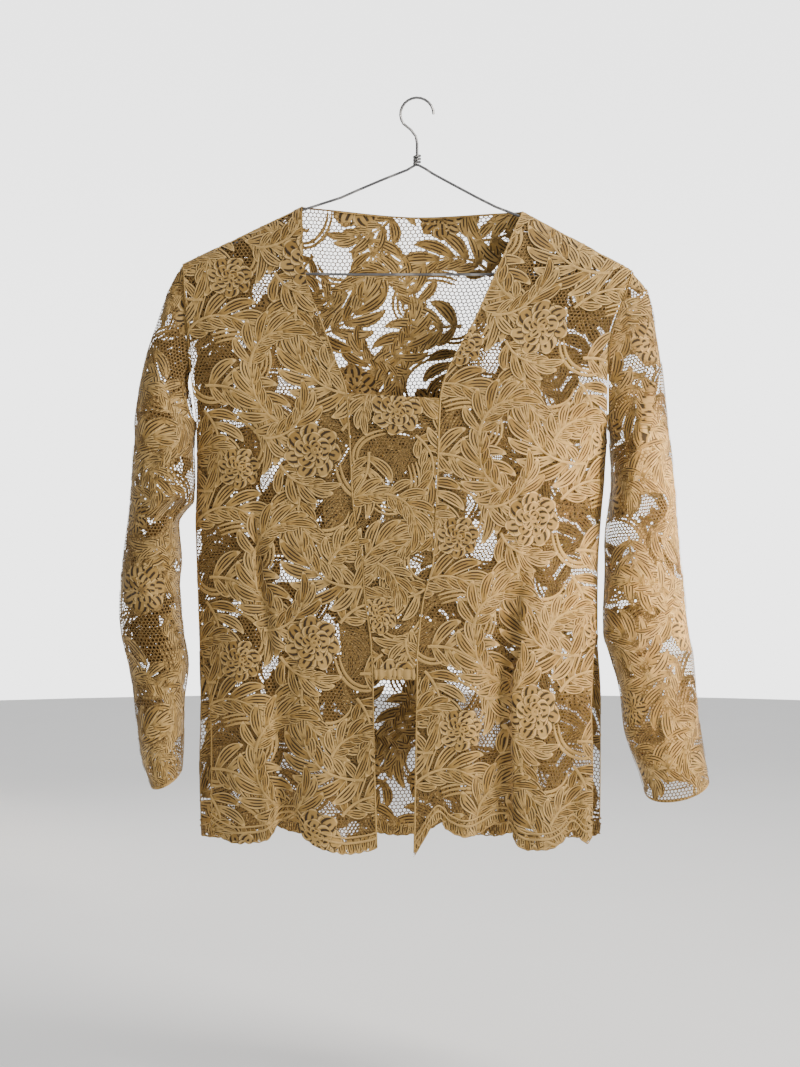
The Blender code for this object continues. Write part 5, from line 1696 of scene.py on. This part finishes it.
# Cords: the edge, the width in cords, the step along it, the lifts at its sides and middle, and the tint
FRONT_EDGE = (1.0, 6.0, 0.5, 1.4, 0.4)
FRONT_SEAM = (1.0, 6.0, 0.2, 0.9, -0.4)
HEM_CORD = ("hem", 0.8, 1.5, 0.7, 1.5, 0.5)
FRONT_CORDS = (("top", 1.0, 4.0, 0.3, 1.0, 0.0), HEM_CORD)
BACK_CORDS = (
    ("low", 1.0, 6.0, 0.2, 1.0, 0.0),
    ("high", 1.0, 6.0, 0.2, 1.0, 0.0),
    ("top", 1.0, 4.0, 0.2, 1.0, 0.0),
    HEM_CORD,
)
CUFF_CORD = ("cuff", 1.6, 4.0, 0.3, 1.2, 0.3)
SLEEVE_CORDS = (
    ("armhole", 1.0, 4.0, 0.2, 1.0, -0.3),
    ("low", 1.0, 5.0, 0.1, 0.5, -0.5),
    ("high", 1.0, 5.0, 0.1, 0.5, -0.5),
)
PANEL_CORD = ("top", 1.0, 4.0, 0.4, 1.2, 0.2)

# The cuffs' stitch line, the panel's gathered hem, and the lines that echo the hem
STITCH_WIDTH, STITCH_STEP, STITCH_LIFT, STITCH_TINT = 0.6, 4.0, (1.2, 1.8), -0.6
PANEL_HEM_STEP, PANEL_HEM_LIFT, PANEL_HEM_TINT, PANEL_GATHERS = 1.0, (1.3, 2.2), -0.3, 0.5
HEM_ECHOES = ((0.62, 1.5), (1.0, 1.2))
ECHO_STEP, ECHO_LIFT, ECHO_TINT = 2.0, (1.2, 2.2), 0.3


def add_hem_echoes(cloth, ground, lace):
    """Two corded lines that follow the hem's large scallops."""
    for share, reach in HEM_ECHOES:
        rows = ground.rim("hem", reach * lace.cord / MM, ECHO_STEP, share * lace.hem_leaf / MM)
        add_band(cloth, rows, ECHO_LIFT, ECHO_TINT, KIND_RIBBON)


def add_cords(cloth, ground, lace, rows):
    """The cords along a sheet's edges."""
    for which, width, step, side_lift, middle_lift, tint in rows:
        add_band(cloth, ground.rim(which, lace.cord / MM * width, step), (side_lift, middle_lift), tint)


class KEBAYA_OT_fronts(bpy.types.Operator):
    """Cut and hang the two fronts, with corded edges and a scalloped hem"""

    bl_idname = "kebaya.fronts"
    bl_label = "Fronts"

    def execute(self, context):
        lace = context.scene.kebaya_lace
        for name in ("front_right", "front_left"):
            ground = BodyGround(name)
            cloth = begin_lace(name, ground)
            edge, seam = ("high", "low") if name == "front_right" else ("low", "high")
            add_hem_leaves(cloth, ground, lace.hem_leaf / MM, SMALL_SCALLOP)
            add_cords(cloth, ground, lace, ((edge, *FRONT_EDGE), (seam, *FRONT_SEAM), *FRONT_CORDS))
            add_hem_echoes(cloth, ground, lace)
            made = cloth.close(name + "_lace", ground, shared_lace())
            hang(made, [name])
        return {"FINISHED"}


class KEBAYA_OT_back(bpy.types.Operator):
    """Cut and hang the back in one piece"""

    bl_idname = "kebaya.back"
    bl_label = "Back"

    def execute(self, context):
        lace = context.scene.kebaya_lace
        ground = BodyGround("back")
        cloth = begin_lace("back", ground)
        add_hem_leaves(cloth, ground, lace.hem_leaf / MM, SMALL_SCALLOP)
        add_cords(cloth, ground, lace, BACK_CORDS)
        add_hem_echoes(cloth, ground, lace)
        made = cloth.close("back_lace", ground, shared_lace())
        hang(made, ["back"])
        return {"FINISHED"}


class KEBAYA_OT_sleeves(bpy.types.Operator):
    """Cut and sew the two sleeves as tubes, with a corded cuff edge and a stitch line above it"""

    bl_idname = "kebaya.sleeves"
    bl_label = "Sleeves"

    def execute(self, context):
        lace = context.scene.kebaya_lace
        for name in ("sleeve_right", "sleeve_left"):
            ground = SleeveGround(name == "sleeve_right")
            cloth = begin_lace(name, ground)
            add_cords(cloth, ground, lace, (CUFF_CORD,))
            stitches = ground.rim("cuff", lace.cord / MM * STITCH_WIDTH, STITCH_STEP, lace.cuff_turn / MM)
            add_band(cloth, stitches, STITCH_LIFT, STITCH_TINT)
            add_cords(cloth, ground, lace, SLEEVE_CORDS)
            made = cloth.close(name + "_lace", ground, shared_lace())
            hang(made, [name])
        return {"FINISHED"}


class KEBAYA_OT_facings(bpy.types.Operator):
    """Turn the doubled facings in behind the front edges"""

    bl_idname = "kebaya.facings"
    bl_label = "Facings"

    def execute(self, context):
        for side in ("right", "left"):
            name = "facing_" + side
            ground = BodyGround(name)
            cloth = begin_lace(name, ground)
            made = cloth.close("front_facing_" + side + "_lace", ground, shared_lace())
            hang(made, ["front_facing_" + side])
        return {"FINISHED"}


class KEBAYA_OT_centre_panel(bpy.types.Operator):
    """Sew the doubled kutu baru panel in between the front edges"""

    bl_idname = "kebaya.centre_panel"
    bl_label = "Centre panel"

    def execute(self, context):
        lace = context.scene.kebaya_lace
        ground = BodyGround("panel")
        lining_cloth = begin_lace("panel_lining", ground)
        lining_cloth.lift = [-LAYER_GAP - lift for lift in lining_cloth.lift]
        lining = lining_cloth.close("kutu_baru_lining_lace", ground, shared_lace())
        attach(lining, "root")
        cloth = begin_lace("panel", ground)
        add_cords(cloth, ground, lace, (PANEL_CORD,))
        hem = ground.rim("hem", lace.hem_band / MM, PANEL_HEM_STEP)
        add_band(cloth, hem, PANEL_HEM_LIFT, PANEL_HEM_TINT, KIND_RIBBON, PANEL_GATHERS)
        made = cloth.close("kutu_baru_panel_lace", ground, shared_lace())
        hang(made, ["kutu_baru_panel"])
        return {"FINISHED"}


class KEBAYA_OT_hanger(bpy.types.Operator):
    """Finish the bent wire hanger"""

    bl_idname = "kebaya.hanger"
    bl_label = "Hanger"

    def execute(self, context):
        material = wire_material("galvanised_wire", context.scene.kebaya_hanger)
        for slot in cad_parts["hanger"].material_slots:
            slot.material = material
        return {"FINISHED"}


# The blouse's middle, which the lamps point at
MIDDLE = (-0.01, 0.0, -0.42)

# The floor's disc, and a lamp that shines to all sides
FLOOR_SIDES = 96
FLOOR_RADIUS = 4.5
WIDE = 180

# Where the studio's walls begin and end, as sines of the direction behind the blouse and above the horizon
BACK_WALL = (0.72, 0.92)
WALL_TOP = (0.08, 0.3)
WALL_FOOT = (-0.62, -0.4)
CEILING = (0.7, 0.9)


class KEBAYA_OT_stage(bpy.types.Operator):
    """Set the pale floor, the soft lamps and the camera"""

    bl_idname = "kebaya.stage"
    bl_label = "Stage"

    def execute(self, context):
        stage = context.scene.kebaya_stage
        self.floor(stage)
        self.lamps(stage)
        self.camera(context, stage)
        return {"FINISHED"}

    def floor(self, stage):
        around = np.arange(FLOOR_SIDES) * 2 * np.pi / FLOOR_SIDES
        points = [(FLOOR_RADIUS * math.cos(a), FLOOR_RADIUS * math.sin(a), -stage.floor_drop) for a in around]
        mesh = bpy.data.meshes.new("studio_floor")
        mesh.from_pydata(points, [], [tuple(range(FLOOR_SIDES))])
        mesh.materials.append(floor_material("studio_paint", stage))
        floor = bpy.data.objects.new("studio_floor", mesh)
        bpy.context.scene.collection.objects.link(floor)

    def lamps(self, stage):
        """Each lamp by its place, size, spread, power and colour."""
        places = (
            ("key_lamp", (1.3, -0.7, 0.75), 0.5, WIDE, stage.key_power, (1.0, 0.95, 0.88)),
            ("side_lamp", (1.3, -1.1, -0.2), 0.3, 14, stage.side_power, (1.0, 0.84, 0.64)),
            ("fill_lamp", (-1.5, -1.2, -0.2), 1.4, WIDE, stage.fill_power, (0.96, 0.98, 1.0)),
            ("back_lamp", (-0.4, 1.6, 0.5), 1.4, WIDE, stage.rim_power, (1.0, 0.97, 0.92)),
            ("floor_lamp", (0.0, 3.2, 2.2), 4.5, WIDE, stage.floor_power, (1.0, 1.0, 1.0)),
        )
        targets = {"side_lamp": (0.39, 0.0, -0.43), "floor_lamp": (0.0, 3.2, 0.0)}
        for name, place, size, spread, power, colour in places:
            lamp = bpy.data.lights.new(name, "AREA")
            lamp.size = size
            lamp.spread = math.radians(spread)
            lamp.energy = power
            lamp.color = colour
            piece = bpy.data.objects.new(name, lamp)
            bpy.context.scene.collection.objects.link(piece)
            piece.location = place
            piece.rotation_euler = aim(place, targets.get(name, MIDDLE))
        self.studio(stage)

    def studio(self, stage):
        """A dim room with a pale wall at eye level, brightest behind the blouse."""
        world = bpy.data.worlds.new("studio")
        world.use_nodes = True
        tree = world.node_tree
        split = tree.nodes.new("ShaderNodeSeparateXYZ")
        tree.links.new(tree.nodes.new("ShaderNodeTexCoord").outputs["Generated"], split.inputs["Vector"])
        glow = stage.even_glow
        steps = (
            ("Y", BACK_WALL, stage.back_glow),
            ("Z", WALL_TOP, stage.wall_glow),
            ("Z", WALL_FOOT, stage.wall_glow),
            ("Z", CEILING, stage.ceiling_glow),
        )
        for axis, (start, end), strength in steps:
            ranged = tree.nodes.new("ShaderNodeMapRange")
            ranged.interpolation_type = "SMOOTHSTEP"
            names = ("From Min", "From Max", "To Min", "To Max")
            for name, value in zip(names, (start, end, 0.0, strength)):
                ranged.inputs[name].default_value = value
            tree.links.new(split.outputs[axis], ranged.inputs["Value"])
            total = tree.nodes.new("ShaderNodeMath")
            total.operation = "SUBTRACT" if (start, end) == WALL_TOP else "ADD"
            if isinstance(glow, float):
                total.inputs[0].default_value = glow
            else:
                tree.links.new(glow, total.inputs[0])
            tree.links.new(ranged.outputs["Result"], total.inputs[1])
            glow = total.outputs[0]
        background = tree.nodes["Background"]
        background.inputs["Color"].default_value = (1.0, 1.0, 1.0, 1.0)
        tree.links.new(glow, background.inputs["Strength"])
        bpy.context.scene.world = world

    def camera(self, context, stage):
        x = (PHOTO_WIDTH / 2 - HOOK_PIXEL_X) * MM
        z = (HOOK_PIXEL_Y - PHOTO_HEIGHT / 2) * MM
        data = bpy.data.cameras.new("photo_camera")
        data.sensor_fit = "VERTICAL"
        data.sensor_height = SENSOR_HEIGHT
        data.lens = stage.camera_away * SENSOR_HEIGHT / (PHOTO_HEIGHT * MM)
        camera = bpy.data.objects.new("photo_camera", data)
        context.scene.collection.objects.link(camera)
        camera.location = (x, -stage.camera_away, z)
        camera.rotation_euler = (math.pi / 2, 0.0, 0.0)
        context.scene.camera = camera


def aim(place, target):
    """The turn that points a lamp at a target."""
    x, y, z = (t - p for p, t in zip(place, target))
    return (math.atan2(math.hypot(x, y), -z), 0.0, math.atan2(-x, y))


STEPS = (
    KEBAYA_OT_fronts,
    KEBAYA_OT_back,
    KEBAYA_OT_sleeves,
    KEBAYA_OT_facings,
    KEBAYA_OT_centre_panel,
    KEBAYA_OT_hanger,
    KEBAYA_OT_stage,
)


class KEBAYA_PT_sidebar(bpy.types.Panel):
    """Lists the blouse's pieces, sizes and colours"""

    bl_idname = "KEBAYA_PT_sidebar"
    bl_label = "Lace kebaya blouse"
    bl_space_type = "VIEW_3D"
    bl_region_type = "UI"
    bl_category = "Kebaya"

    def draw(self, context):
        for step in STEPS:
            self.layout.operator(step.bl_idname)
        for settings in (context.scene.kebaya_lace, context.scene.kebaya_hanger, context.scene.kebaya_stage):
            box = self.layout.box()
            for name in settings.__annotations__:
                box.prop(settings, name)


SETTINGS = {"kebaya_lace": KebayaLace, "kebaya_hanger": KebayaHanger, "kebaya_stage": KebayaStage}


def register():
    for group in (*SETTINGS.values(), *STEPS, KEBAYA_PT_sidebar):
        bpy.utils.register_class(group)
    for name, group in SETTINGS.items():
        setattr(bpy.types.Scene, name, bpy.props.PointerProperty(type=group))


def unregister():
    for name in SETTINGS:
        delattr(bpy.types.Scene, name)
    for group in (KEBAYA_PT_sidebar, *reversed(STEPS), *reversed(SETTINGS.values())):
        bpy.utils.unregister_class(group)


def main():
    register()
    for step in STEPS:
        group, name = step.bl_idname.split(".")
        getattr(getattr(bpy.ops, group), name)()


if __name__ == "__main__":
    main()
